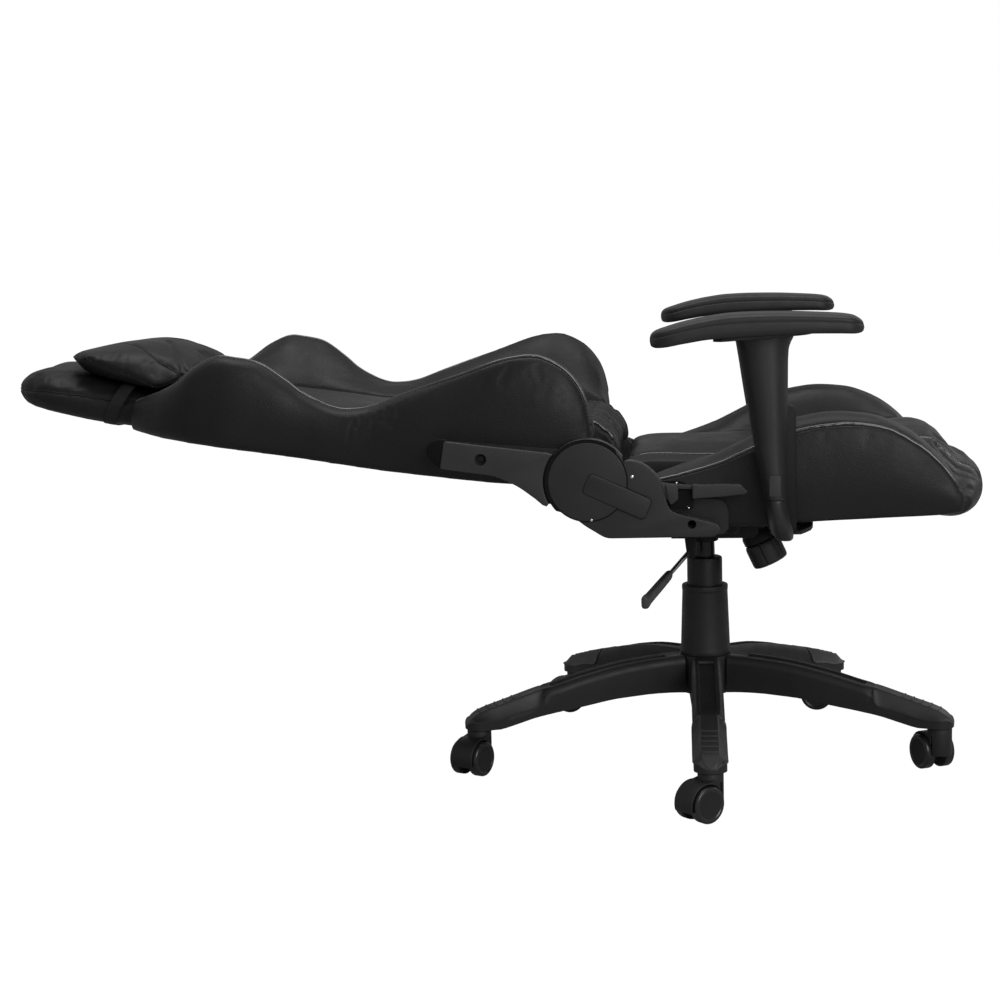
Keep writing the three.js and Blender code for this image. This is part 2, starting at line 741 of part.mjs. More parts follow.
function makeSeatFrame() {
  const w = FRAME_HALF_WIDTH;
  const plan = roundedRectangle(FRAME_REAR, FRAME_FRONT, -w, w, 30);
  const inside = w - FRAME_RAIL;
  const windows = [
    [FRAME_REAR + FRAME_RAIL, -42],
    [-20, 66],
    [92, FRAME_FRONT - FRAME_RAIL],
  ];
  for (const [x0, x1] of windows)
    plan.holes.push(roundedRectangle(x0, x1, -inside, inside, 10));
  const t = FRAME_WALL;
  const trough = roundedRectangle(FRAME_REAR + t, FRAME_FRONT - t, -w + t, w - t, 28);
  for (const [x0, x1] of windows)
    trough.holes.push(roundedRectangle(x0 - t, x1 + t, -inside - t, inside + t, 12));
  const channel = cut(
    slab(plan, FRAME_BOTTOM, FRAME_TOP, 0, 2),
    slab(trough, FRAME_BOTTOM - 5, FRAME_TOP - t, 0, 2),
  );
  return piece("seat_frame", channel, BLACK_STEEL);
}

// Top of the centre cushion along the chair.
const cushionTop = between([
  [SEAT_REAR, 424],
  [SEAT_REAR + 14, 433],
  [-40, 436],
  [80, 438],
  [200, 446],
  [282, 453],
  [312, 443],
  [336, 418],
  [356, 401],
  [SEAT_FRONT, 378],
]);

function makeSeatCushion() {
  const w = SEAT_INNER;
  const rollStart = BOLSTER_FRONT + GAP + 1;
  const bodyRings = steps(SEAT_REAR, rollStart, 14).map((x, k) => {
    const top = cushionTop(x)[0];
    const low = CUSHION_BOTTOM + (k === 0 ? 6 : 0);
    const crown = 5;
    return [
      place(x, -w + 4, low),
      place(x, w - 4, low),
      place(x, w, low + 5),
      place(x, w, top - 12),
      place(x, w - 8, top - 4),
      place(x, w / 2, top + crown * 0.5),
      place(x, 0, top + crown * 0.6),
      place(x, -w / 2, top + crown * 0.5),
      place(x, -w + 8, top - 4),
      place(x, -w, top - 12),
      place(x, -w, low + 5),
    ];
  });
  const reach = 236;
  const rollRings = steps(-reach, reach, 12).map((y) => {
    const t = Math.abs(y) / reach;
    const front = SEAT_FRONT - 34 * t * t;
    const top = 436 - 46 * t ** 4;
    const low = CUSHION_BOTTOM - 8 + 14 * t ** 2;
    const back = rollStart - 0.5;
    const deep = (share) => back + (front - back) * share;
    return [
      place(back, y, low + 3),
      place(deep(0.35), y, low - 2),
      place(deep(0.72), y, low + 2),
      place(deep(0.94), y, low + 16),
      place(front, y, low + 38 * (1 - 0.4 * t)),
      place(deep(0.82), y, top - 28 * (1 - 0.5 * t)),
      place(deep(0.45), y, top - 9 * (1 - 0.3 * t)),
      place(back, y, top),
    ];
  });
  const foam = cut(join(loft(bodyRings), loft(rollRings)), frameRecess());
  return piece("seat_cushion", foam, LEATHER);
}

// Ridge of a seat bolster along the chair, and the depth of its underside.
const bolsterUnder = between([
  [BOLSTER_REAR, 352],
  [0, 351],
  [40, 350],
  [85, 352],
  [131, 358],
  [220, 362],
  [290, 366],
  [BOLSTER_FRONT, 368],
]);
const bolsterTop = between([
  [BOLSTER_REAR, 402],
  [-50, 413],
  [-20, 422],
  [16, 433],
  [53, 450],
  [90, 468],
  [125, 479],
  [165, BOLSTER_TOP],
  [205, 481],
  [231, 475],
  [250, 466],
  [269, 454],
  [288, 437],
  [306, 416],
  [BOLSTER_FRONT, 388],
]);

function seatBolster() {
  const inner = SEAT_INNER + GAP;
  const outer = SEAT_OUTER;
  const rings = steps(BOLSTER_REAR, BOLSTER_FRONT, 16).map((x) => {
    const top = bolsterTop(x)[0];
    const cushion = cushionTop(x)[0];
    const rise = Math.max(6, top - cushion);
    const side = bolsterUnder(x)[0];
    const low = Math.min(side, 351);
    return [
      place(x, -inner - 4, low),
      place(x, -inner, low + 6),
      place(x, -inner, Math.min(cushion, top) - 8),
      place(x, -inner - 14, Math.min(cushion, top - 2) + rise * 0.25),
      place(x, -inner - 34, top - rise * 0.1),
      place(x, -inner - 52, top + 2),
      place(x, -outer + 12, top - 1),
      place(x, -outer + 2, top - 12),
      place(x, -outer, top - Math.min(40, (top - low) / 2)),
      place(x, -outer + 1, side + 12),
      place(x, -outer + 8, side),
      place(x, -outer + 46, (side + low) / 2),
    ];
  });
  return cut(loft(rings), frameRecess());
}

// ---- recliners, right-hand side ------------------------------------------------------------------
const ARM_PLATE_FACE = SEAT_OUTER + GAP + 0.7; // inner face of the seat-side hinge plate
const RECLINER_FACE = ARM_PLATE_FACE + HINGE_PLATE + GAP;
const BACK_ARM_FACE = RECLINER_FACE + RECLINER_WIDTH + GAP;
const LEVER_FACE = BACK_ARM_FACE + BACK_ARM + GAP + 0.7;
const COVER_FACE = LEVER_FACE + LEVER_THICKNESS + COVER_SHELL + 4;

const shaftBore = (clearance) =>
  crossRod(SHAFT_RADIUS + clearance, HINGE_X, HINGE_Z, -400, 400, 16);

function hingePlate() {
  const plate = new THREE.Shape();
  plate.absarc(HINGE_X, HINGE_Z, HINGE_EYE, 0.5, 1.25 * Math.PI);
  plate.lineTo(-118, 348);
  plate.lineTo(-70, 345);
  plate.lineTo(24, 345);
  plate.lineTo(31, 352);
  plate.lineTo(31, 372);
  plate.quadraticCurveTo(30, 389, 14, 389);
  plate.lineTo(-24, 389);
  plate.lineTo(-64, 424);
  const flange = block(-66, 12, -ARM_PLATE_FACE - 2, -FRAME_HALF_WIDTH - GAP, 345, 350);
  return cut(
    join(sidewall(plate, -ARM_PLATE_FACE - HINGE_PLATE, -ARM_PLATE_FACE), flange),
    shaftBore(RUNNING),
    crossRod(5, -14, 361, -300, -200, 12),
  );
}

// The geared hinge: a round case with a toothed rim and a bored hub.
function recliner() {
  const rim = new THREE.Shape();
  const teeth = 15;
  for (let i = 0; i < teeth * 2; i += 1) {
    const angle = (Math.PI * i) / teeth;
    const radius = RECLINER_RADIUS - (i % 2 ? 2.2 : 0);
    const method = i ? "lineTo" : "moveTo";
    rim[method](HINGE_X + radius * Math.cos(angle), HINGE_Z + radius * Math.sin(angle));
  }
  const outer = -RECLINER_FACE - RECLINER_WIDTH;
  const middle = -RECLINER_FACE - RECLINER_WIDTH / 2;
  return cut(
    join(
      sidewall(rim, outer, middle),
      crossRod(RECLINER_RADIUS - 4, HINGE_X, HINGE_Z, middle - 0.5, -RECLINER_FACE, 18),
    ),
    shaftBore(RUNNING),
  );
}

// The steel arm that carries the backrest, drawn upright from the hinge.
function backArm() {
  const arm = new THREE.Shape();
  arm.absarc(0, 0, RECLINER_RADIUS, 1.2 * Math.PI, 1.85 * Math.PI);
  arm.lineTo(33, 46);
  arm.lineTo(21, BACK_ARM_LENGTH);
  arm.lineTo(-12, BACK_ARM_LENGTH - 4);
  arm.lineTo(-10, 119);
  arm.lineTo(-18, 85);
  arm.lineTo(-36, 46);
  const boss = crossRod(12, 6, BACK_ARM_BOLT, -BACK_ARM_FACE - 1, -ARM_BOSS_FACE, 16);
  return cut(
    join(sidewall(arm, -BACK_ARM_FACE - BACK_ARM, -BACK_ARM_FACE), boss),
    crossRod(SHAFT_RADIUS + RUNNING, 0, 0, -400, -200, 16),
    crossRod(4, 6, BACK_ARM_BOLT, -BACK_ARM_FACE - 12, -BACK_ARM_FACE + 6, 12),
  );
}

// The plastic cap over the arm, open on its inner side, cut round to clear the hinge cover.
function backArmCover() {
  const face = -COVER_FACE + 2.5;
  const shape = outline([
    [29, 40],
    [22, BACK_ARM_LENGTH + 3],
    [-14, BACK_ARM_LENGTH - 1],
    [-12, 118],
    [-20, 85],
    [-39, 46],
    [-36, 38],
  ]);
  const inside = outline([
    [50, 20],
    [22 - COVER_SHELL, BACK_ARM_LENGTH + 3 - COVER_SHELL],
    [-14 + COVER_SHELL, BACK_ARM_LENGTH - 1 - COVER_SHELL],
    [-12 + COVER_SHELL, 118],
    [-20 + COVER_SHELL, 85],
    [-60, 20],
  ]);
  const back = -BACK_ARM_FACE - BACK_ARM - GAP;
  return cut(
    sidewall(shape, face, back, 1),
    crossRod(DISC_RING, 0, 0, -400, -200, 22),
    sidewall(inside, back - LEVER_THICKNESS, back + 5),
    crossRod(6.5, 6, BACK_ARM_BOLT, -400, -200, 14),
  );
}

// The moulded cover over the hinge: a shell with a raised disc and bar, open behind and on the side
// where the back arm sweeps.
function reclinerCover() {
  const outer = -COVER_FACE;
  const rim = -ARM_PLATE_FACE - HINGE_PLATE - GAP;
  const plate = new THREE.Shape();
  plate.absarc(HINGE_X, HINGE_Z, DISC_RING - GAP - 1, 0.56, -2.47, true);
  const skirt = new THREE.Shape();
  skirt.moveTo(HINGE_X, HINGE_Z);
  skirt.lineTo(-96, 444);
  skirt.lineTo(-64, 427);
  skirt.quadraticCurveTo(-52, 420, -47, 405);
  skirt.quadraticCurveTo(-43, 382, -32, 377);
  skirt.lineTo(12, 363);
  skirt.quadraticCurveTo(22, 360, 20, 352);
  skirt.lineTo(15, 346);
  skirt.lineTo(-118, 345);
  skirt.lineTo(-146, 362);
  skirt.lineTo(-181, 386);
  const shell = join(sidewall(skirt, outer + 3, rim, 1), crossRod(
    DISC_RING - 1.5, HINGE_X, HINGE_Z, outer + 3, -LEVER_FACE - LEVER_THICKNESS - 1, 22));
  const inside = new THREE.Shape();
  const w = COVER_SHELL;
  inside.moveTo(-100, 470);
  inside.lineTo(-93, 440);
  inside.lineTo(-66, 425 - w);
  inside.quadraticCurveTo(-54, 418, -49, 403);
  inside.quadraticCurveTo(-46, 380, -34, 374);
  inside.lineTo(11, 360);
  inside.lineTo(16, 355);
  inside.lineTo(13, 346 + w);
  inside.lineTo(-117, 345 + w);
  inside.lineTo(-144, 362 + w);
  inside.lineTo(-250, 436);
  inside.lineTo(-250, 470);
  const hollow = sidewall(inside, outer + 3 + COVER_SHELL, rim + 5);
  const disc = crossRod(DISC_RADIUS, HINGE_X, HINGE_Z, outer + 0.8, outer + 4, 22);
  const bar = sidewall(roundedRectangle(-42, 42, -13.5, 13.5, 3), outer, outer + 4)
    .rotateY(24.6 * DEGREE)
    .translate(-105, 0, 399);
  const leverSlot = block(-90, -20, -LEVER_FACE - LEVER_THICKNESS - 0.6, -LEVER_FACE + 0.8, 386, 442);
  const armSweep = block(-200, -171, -LEVER_FACE + 0.4, rim + 5, 340, 400);
  return cut(
    join(cut(shell, hollow), disc, bar),
    leverSlot,
    armSweep,
    crossRod(5, -14, 361, -400, -200, 14),
  );
}

// The release lever: an eye on the cross shaft and a blade that reaches forward to the handle.
function reclineLever() {
  const inner = -LEVER_FACE;
  const outer = inner - LEVER_THICKNESS;
  const blade = outline([
    [HINGE_X + 6, HINGE_Z - 15],
    [-52, 393],
    [-40, 391],
    [-14, 399],
    [0, 396],
    [0, 412],
    [-12, 413],
    [-40, 414],
    [HINGE_X + 4, HINGE_Z + 15],
  ]);
  const handle = new THREE.Shape();
  handle.moveTo(-26, 397);
  handle.lineTo(1, 394.5);
  handle.lineTo(46, 400);
  handle.quadraticCurveTo(56, 402, 56, 405);
  handle.quadraticCurveTo(54, 412, 44, 412.5);
  handle.lineTo(-6, 410);
  handle.quadraticCurveTo(-22, 413.5, -28, 414);
  return cut(
    join(
      sidewall(blade, outer, inner),
      crossRod(15, HINGE_X, HINGE_Z, outer, inner, 20),
      sidewall(handle, outer - 7, inner + 1, 1.2, 2),
    ),
    crossRod(SHAFT_RADIUS + GAP, HINGE_X, HINGE_Z, -400, -200, 16),
  );
}

function makeRecliners() {
  const group = new THREE.Group();
  pair(group, "hinge_plate", hingePlate(), BLACK_STEEL);
  pair(group, "recliner", recliner(), BRIGHT_STEEL);
  pair(group, "recliner_cover", reclinerCover(), NYLON);
  group.add(piece("recline_lever", reclineLever(), SOFT_PLASTIC));
  const shaft = crossRod(
    SHAFT_RADIUS,
    HINGE_X,
    HINGE_Z,
    -LEVER_FACE - LEVER_THICKNESS,
    BACK_ARM_FACE + BACK_ARM,
    16,
  );
  group.add(piece("recline_shaft", shaft, BRIGHT_STEEL));
  return group;
}

// ---- backrest ------------------------------------------------------------------------------------
// Everything here is drawn upright, x forwards and z up from the hinge, and is laid back at the end.
const backRear = between([
  [-10, -14],
  [35, -19],
  [112, -27],
  [197, -33],
  [292, -38],
  [440, -39],
  [559, -41],
  [666, -45],
  [722, -45],
  [HEAD_TOP, -42],
]);
const backFront = between([
  [BACK_FOOT, 66],
  [60, 63],
  [120, 56],
  [200, 41],
  [304, 22],
  [393, 19],
  [480, 13],
  [560, 7],
  [HEAD_FOOT, 3],
]);
// Half widths: over the wings, and of the centre panel between them.
const backWidths = between([
  [0, 248, 150],
  [60, 254, 150],
  [120, 256, 150],
  [200, 250, 150],
  [300, 241, 150],
  [360, 243, 150],
  [420, 253, 150],
  [470, 261, 148],
  [510, 258, 144],
  [550, 238, 140],
  [585, 202, 136],
  [WING_TOP, 166, 134],
]);
const FOAM_DEPTH = PANEL_THICKNESS + 2 * BACK_TUBE_RADIUS + 2 * GAP;
const ARM_BOSS_FACE = 253.9;

// Ridge of a wing: station, x and z of the ridge, height of the rear edge behind it, and how far that
// edge is brought forward to clear the cross shaft.
const wingRidge = between([
  [0, 45, 2, 5, 32],
  [0.04, 66, 8, 13, 20],
  [0.1, 107, 27, 26, 5],
  [0.15, 134, 60, 52, 0],
  [0.2, 141, 90, 88, 0],
  [0.25, 135, 118, 122, 0],
  [0.33, 101, 183, 188, 0],
  [0.42, 63, 250, 254, 0],
  [0.5, 37, 299, 300, 0],
  [0.55, 31, 330, 330, 0],
  [0.62, 43, 376, 376, 0],
  [0.68, 59, 404, 408, 0],
  [0.75, 76, 448, 450, 0],
  [0.8, 76, 482, 482, 0],
  [0.86, 59, 515, 516, 0],
  [0.92, 26, 548, 550, 0],
  [1, -6, WING_TOP, WING_TOP, 0],
]);

function backWing() {
  const rings = steps(0, 1, 19).map((t) => {
    const [ridgeX, ridgeZ, rearZ, forward] = wingRidge(t);
    const rearX = backRear(rearZ)[0] + Math.max(0, forward);
    const [outer, inner] = backWidths(ridgeZ);
    const front = Math.min(backFront(ridgeZ)[0], ridgeX - 4);
    const ridge = Math.max(outer - 34, inner + 12);
    const at = (share, y) =>
      place(rearX + (ridgeX - rearX) * share, -y, rearZ + (ridgeZ - rearZ) * share);
    const depth = ridgeX - rearX;
    const share = (distance) => Math.min(0.9, distance / depth);
    const panel = Math.max(share(FOAM_DEPTH + 4), Math.min(0.94, (front - rearX) / depth));
    const stepY = Math.max(backWidths(rearZ)[0] - 42 + GAP, inner + 3);
    return [
      at(share(FOAM_DEPTH), inner + GAP),
      at(panel, inner + GAP),
      at(panel + (1 - panel) * 0.45, inner + (ridge - inner) * 0.45),
      at(0.985, ridge - 8),
      at(1, ridge),
      at(0.965, ridge + 12),
      at(0.8, outer - 5),
      at(0.5, outer),
      at(share(12), outer - 4),
      at(0, outer - 16),
      at(0, stepY),
      at(share(FOAM_DEPTH), stepY),
    ];
  });
  return loft(rings);
}

function backCushion() {
  const rings = steps(BACK_FOOT, HEAD_FOOT - GAP, 11).map((z) => {
    const w = backWidths(z)[1];
    const front = backFront(z)[0];
    const rear = backRear(z)[0] + FOAM_DEPTH;
    return [
      place(rear, -w, z),
      place(front - 8, -w, z),
      place(front - 1, -w + 10, z),
      place(front + 2, -w / 2, z),
      place(front + BACK_CROWN, 0, z),
      place(front + 2, w / 2, z),
      place(front - 1, w - 10, z),
      place(front - 8, w, z),
      place(rear, w, z),
    ];
  });
  return loft(rings);
}

function backPanel() {
  const rings = steps(BACK_FOOT, HEAD_FOOT - GAP, 14).map((z) => {
    const w = backWidths(z)[0] - 45;
    const rear = backRear(z)[0];
    return [
      place(rear, -w, z),
      place(rear + PANEL_THICKNESS, -w, z),
      place(rear + PANEL_THICKNESS, w, z),
      place(rear, w, z),
    ];
  });
  return loft(rings);
}

// Half width of the headrest up to its rounded top.
function headWidth(z) {
  const into = z - (HEAD_TOP - HEAD_CORNER);
  if (into <= 0) return HEAD_HALF_WIDTH;
  const r = HEAD_CORNER;
  return HEAD_HALF_WIDTH - r + Math.sqrt(Math.max(0, r * r - into * into));
}

function headrest() {
  const ends = [75, 55, 40, 27, 17, 9, 3, 0].map((below) => HEAD_TOP - below);
  const stations = [HEAD_FOOT, HEAD_FOOT + 40, HEAD_FOOT + 80, ...ends];
  const rings = stations.map((z) => {
    const w = headWidth(Math.min(z, HEAD_TOP - 1));
    const fade = Math.max(0, (z - HEAD_TOP + 35) / 35);
    const rear = backRear(z)[0] + 6 * fade ** 2;
    const front = HEAD_FRONT - 20 * fade ** 2.6 - 6 * Math.max(0, (HEAD_FOOT + 100 - z) / 100) ** 2;
    const side = front - 16 + 5 * fade;
    return [
      place(rear, -w + 18, z),
      place(rear + 8, -w + 3, z),
      place((rear + side) / 2, -w, z),
      place(side, -w + 3, z),
      place(front - 3, -w * 0.72, z),
      place(front, 0, z),
      place(front - 3, w * 0.72, z),
      place(side, w - 3, z),
      place((rear + side) / 2, w, z),
      place(rear + 8, w - 3, z),
      place(rear, w - 18, z),
    ];
  });
  return loft(rings);
}

function backFrame() {
  const x = (z) => backRear(z)[0] + PANEL_THICKNESS + GAP + BACK_TUBE_RADIUS;
  const side = BACK_TUBE_HALF_WIDTH;
  const bend = BACK_TUBE_TOP - BACK_TUBE_BEND;
  const route = [];
  for (const z of steps(30, bend, 6)) route.push(place(x(z), -side, z));
  const corner = [0.25, 0.5, 0.75].map((t) => t * (Math.PI / 2));
  for (const a of corner)
    route.push(
      place(
        x(bend + BACK_TUBE_BEND * Math.sin(a)),
        -side + BACK_TUBE_BEND * (1 - Math.cos(a)),
        bend + BACK_TUBE_BEND * Math.sin(a),
      ),
    );
  for (const y of [-side + BACK_TUBE_BEND, 0]) route.push(place(x(BACK_TUBE_TOP), y, BACK_TUBE_TOP));
  const whole = [...route, ...route.slice(0, -1).reverse().map((p) => place(p.x, -p.y, p.z))];
  const path = new THREE.CatmullRomCurve3(whole, false, "centripetal");
  const section = new THREE.Shape();
  section.absarc(0, 0, BACK_TUBE_RADIUS, 0, 2 * Math.PI);
  const bore = new THREE.Path();
  bore.absarc(0, 0, BACK_TUBE_RADIUS - BACK_TUBE_WALL, 0, 2 * Math.PI);
  section.holes.push(bore);
  return new THREE.ExtrudeGeometry(section, {
    steps: 22,
    extrudePath: path,
    curveSegments: 3,
    bevelEnabled: false,
  });
}

function neckPillow() {
  const foot = backFront(PILLOW_FOOT)[0] + BACK_CROWN + GAP;
  const rings = steps(0, 1, 12).map((t) => {
    const z = PILLOW_FOOT + (PILLOW_TOP - PILLOW_FOOT) * t;
    const round = Math.sqrt(Math.max(0.05, 1 - (2 * t - 1) ** 4));
    const thick = PILLOW_THICKNESS * round * (1.08 - 0.3 * t);
    const w = PILLOW_HALF_WIDTH * (0.93 + 0.07 * round) - (1 - round) * 10;
    const middle = foot + PILLOW_THICKNESS * 0.35;
    const strapFace = HEAD_FRONT + STRAP_SLACK + STRAP_THICKNESS;
    const seat = z < HEAD_FOOT ? backFront(z)[0] + BACK_CROWN : strapFace;
    const back = Math.max(seat + GAP, middle - thick * 0.5);
    return [
      place(back, -w * 0.9, z),
      place(middle - 4, -w, z),
      place(middle + 6, -w, z),
      place(back + thick * 0.82, -w * 0.82, z),
      place(back + thick * 0.98, -w * 0.4, z),
      place(back + thick, 0, z),
      place(back + thick * 0.98, w * 0.4, z),
      place(back + thick * 0.82, w * 0.82, z),
      place(middle + 6, w, z),
      place(middle - 4, w, z),
      place(back, w * 0.9, z),
    ];
  });
  return loft(rings);
}

// The elastic strap that holds the pillow round the headrest.
function pillowStrap() {
  const w = HEAD_HALF_WIDTH;
  const rear = backRear(STRAP_PLACE)[0];
  const band = (grow) =>
    roundedRectangle(
      rear - STRAP_SLACK - grow,
      HEAD_FRONT + STRAP_SLACK + grow,
      -w - STRAP_SLACK - grow,
      w + STRAP_SLACK + grow,
      14 + grow,
    );
  const ring = band(STRAP_THICKNESS);
  ring.holes.push(band(0));
  return slab(ring, STRAP_PLACE - STRAP_WIDTH / 2, STRAP_PLACE + STRAP_WIDTH / 2, 0, 2);
}

function makeBack() {
  const group = new THREE.Group();
  group.add(piece("back_frame", backFrame(), BLACK_STEEL));
  group.add(piece("back_panel", backPanel(), LEATHER));
  group.add(piece("back_cushion", backCushion(), LEATHER));
  group.add(piece("headrest", headrest(), LEATHER));
  pair(group, "back_wing", backWing(), LEATHER);
  pair(group, "back_arm", backArm(), BLACK_STEEL);
  pair(group, "back_arm_cover", backArmCover(), ARM_GREY);
  group.add(piece("neck_pillow", neckPillow(), LEATHER));
  group.add(piece("pillow_strap", pillowStrap(), STRAP_FABRIC));
  group.position.set(HINGE_X, 0, HINGE_Z);
  group.rotation.y = -RECLINE * DEGREE;
  return group;
}

// ---- armrests, right-hand side -------------------------------------------------------------------
const RACK_FACE = ARM_INNER + ARM_STEEL;

// The steel angle: a leg to the seat frame, an upright, and the notched rack on its outer face.
function armBracket() {
  const half = ARM_UPRIGHT_WIDTH / 2;
  const upright = new THREE.Shape();
  upright.moveTo(ARM_X - half, ARM_LEG_TOP - ARM_STEEL);
  upright.lineTo(ARM_X + half, ARM_LEG_TOP - ARM_STEEL);
  upright.lineTo(ARM_X + half, ARM_UPRIGHT_TOP - 12);
  upright.absarc(ARM_X + half - 12, ARM_UPRIGHT_TOP - 12, 12, 0, Math.PI / 2);
  upright.absarc(ARM_X - half + 12, ARM_UPRIGHT_TOP - 12, 12, Math.PI / 2, Math.PI);
  const leg = block(
    ARM_X - half,
    ARM_X + half,
    -ARM_INNER - 2,
    -FRAME_HALF_WIDTH + FRAME_RAIL,
    ARM_LEG_TOP - ARM_STEEL,
    ARM_LEG_TOP,
  );
  const rackBottom = SHROUD_TOP + 8;
  const rack = block(ARM_X - 5, ARM_X + 6, -RACK_FACE - 6, -RACK_FACE + 1, rackBottom, ARM_UPRIGHT_TOP - 6);
  const notches = Array.from({ length: RACK_STEPS }, (_, k) => {
    const z = rackBottom + 10 + k * RACK_PITCH;
    return block(ARM_X - 9, ARM_X + 10, -RACK_FACE - 8, -RACK_FACE - 2.5, z, z + 6);
  });
  return cut(
    join(sidewall(upright, -RACK_FACE, -ARM_INNER), leg, rack),
    ...notches,
  );
}

// The fixed lower cup that closes the post from below.
function armShroud() {
  const inner = -RACK_FACE - GAP;
  const section = new THREE.Shape();
  section.moveTo(inner, SHROUD_BOTTOM);
  section.lineTo(-POST_OUTER + (POST_OUTER + inner) * 0.71, SHROUD_BOTTOM);
  section.quadraticCurveTo(-POST_OUTER + 4, SHROUD_BOTTOM + 2, -POST_OUTER, SHROUD_TOP - 10);
  section.lineTo(-POST_OUTER, SHROUD_TOP);
  section.lineTo(inner, SHROUD_TOP);
  const across = slab(section, 0, 60).rotateX(Math.PI / 2).rotateZ(Math.PI / 2);
  const side = new THREE.Shape();
  side.moveTo(75.5, SHROUD_TOP + 5);
  side.lineTo(76.5, 374);
  side.quadraticCurveTo(80, 352, 91, 344);
  side.quadraticCurveTo(98, 339, 106, 343);
  side.lineTo(102, SHROUD_TOP + 5);
  const box = new THREE.Box3().setFromObject(new THREE.Mesh(across));
  across.translate(60 - box.min.x, -POST_OUTER - box.min.y, 0);
  const outer = common(sidewall(side, -POST_OUTER - 1, inner, 0), across);
  const well = block(80, 99, -POST_OUTER + POST_WALL, inner - POST_WALL, 372, SHROUD_TOP + 5);
  return cut(outer, well);
}

// Side view of the post at a height: its rear and front edges.
const postEdges = between([
  [SHROUD_TOP, 74, 102],
  [406, 72, 102],
  [448, 64, 102],
  [492, 57, 104],
  [526, 52, 104.5],
  [564, 46, 105],
  [POST_TOP, 43, 107],
]);

// The sliding post: a tapered shell open on its inner side, with the plate that carries the pad.
function armPost() {
  const inner = -RACK_FACE - GAP;
  const heights = steps(SHROUD_TOP + GAP, POST_TOP, 4);
  const ring = (z, wall) => {
    const [rear, front] = postEdges(z);
    const outer = -POST_OUTER + wall;
    const round = 9 - wall;
    return [
      place(rear + wall, inner + (wall ? 2 : 0), z),
      place(rear + wall, outer + round + 6, z),
      place(rear + wall + round * 0.4, outer + round * 0.5, z),
      place(rear + wall + round * 1.4, outer, z),
      place(front - wall - round * 1.4, outer, z),
      place(front - wall - round * 0.4, outer + round * 0.5, z),
      place(front - wall, outer + round + 6, z),
      place(front - wall, inner + (wall ? 2 : 0), z),
    ];
  };
  const shell = loft(heights.map((z) => ring(z, 0)));
  const hollow = loft(
    steps(SHROUD_TOP - 2, POST_TOP - 8, 4).map((z) => ring(z, POST_WALL)),
  );
  const plate = slab(
    roundedRectangle(14, 133, -POST_OUTER - 8, -RACK_FACE + 4, 12),
    POST_TOP - 2,
    POST_TOP + 3,
    1,
  ).rotateY(0);
  const window = block(
    ARM_X - 1 - BUTTON_WIDTH / 2 - GAP,
    ARM_X - 1 + BUTTON_WIDTH / 2 + GAP,
    -POST_OUTER - 5,
    -POST_OUTER + POST_WALL + 7,
    SHROUD_TOP + 5 - GAP,
    SHROUD_TOP + 5 + BUTTON_HEIGHT + GAP,
  );
  return cut(join(cut(shell, hollow), plate), window);
}

function armButton() {
  const face = roundedRectangle(
    ARM_X - 1 - BUTTON_WIDTH / 2,
    ARM_X - 1 + BUTTON_WIDTH / 2,
    SHROUD_TOP + 5,
    SHROUD_TOP + 5 + BUTTON_HEIGHT,
    2,
  );
  return sidewall(face, -POST_OUTER - 1.5, -POST_OUTER + 6, 0, 2);
}

// The arched soft pad.
const padTop = between([
  [PAD_REAR, PAD_TOP - 27],
  [PAD_REAR + 5, PAD_TOP - 22],
  [PAD_REAR + 14, PAD_TOP - 18],
  [8, PAD_TOP - 5],
  [40, PAD_TOP - 1],
  [80, PAD_TOP],
  [142, PAD_TOP - 3],
  [178, PAD_TOP - 7],
  [PAD_REAR + PAD_LENGTH - 4, PAD_TOP - 10],
  [PAD_REAR + PAD_LENGTH, PAD_TOP - 15],
]);

function armPad() {
  const middle = (ARM_INNER + POST_OUTER) / 2 + 5;
  const under = POST_TOP + 3 + GAP;
  const rings = steps(PAD_REAR, PAD_REAR + PAD_LENGTH, 14).map((x) => {
    const top = padTop(x)[0];
    const into = (x - PAD_REAR) / PAD_LENGTH;
    const round = Math.max(0.25, 1 - (2 * into - 1) ** 8) ** 0.5;
    const w = (PAD_WIDTH / 2) * round;
    const inPlate = x > 6 && x < 140;
    const low = inPlate ? under : Math.min(under + 5, top - PAD_THICKNESS * (0.55 + 0.17 * round));
    const mid = (low + top) / 2;
    return [
      place(x, -middle - w + 10 * round, low),
      place(x, -middle - w, mid - 3),
      place(x, -middle - w + 1, mid + 4),
      place(x, -middle - w + 10 * round, top - 1.5),
      place(x, -middle, top),
      place(x, -middle + w - 10 * round, top - 1.5),
      place(x, -middle + w - 1, mid + 4),
      place(x, -middle + w, mid - 3),
      place(x, -middle + w - 10 * round, low),
    ];
  });
  return loft(rings);
}

function makeArmrests() {
  const group = new THREE.Group();
  pair(group, "arm_bracket", armBracket(), BLACK_STEEL);
  pair(group, "arm_shroud", armShroud(), NYLON);
  pair(group, "arm_post", armPost(), NYLON);
  pair(group, "arm_button", armButton(), SOFT_PLASTIC);
  pair(group, "arm_pad", armPad(), SOFT_PLASTIC);
  return group;
}

// ---- the whole chair -----------------------------------------------------------------------------
const chair = new THREE.Group();
chair.add(makeBase());
LEG_ANGLES.forEach((_, index) => chair.add(makeCaster(index)));
chair.add(makeGasLift());
chair.add(makeMechanism());
chair.add(makeSeatPlate());
chair.add(makeSeatFrame());
chair.add(makeSeatCushion());
pair(chair, "seat_bolster", seatBolster(), LEATHER);
chair.add(makeRecliners());
chair.add(makeBack());
chair.add(makeArmrests());

// The origin is on the floor, under the middle of the whole chair.
chair.updateMatrixWorld(true);
const middle = new THREE.Box3().setFromObject(chair, true).getCenter(place(0, 0, 0));
chair.position.set(-middle.x, -middle.y, 0);

export default chair;
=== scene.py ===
import json
from math import cos, pi, radians, sin, sqrt, tau

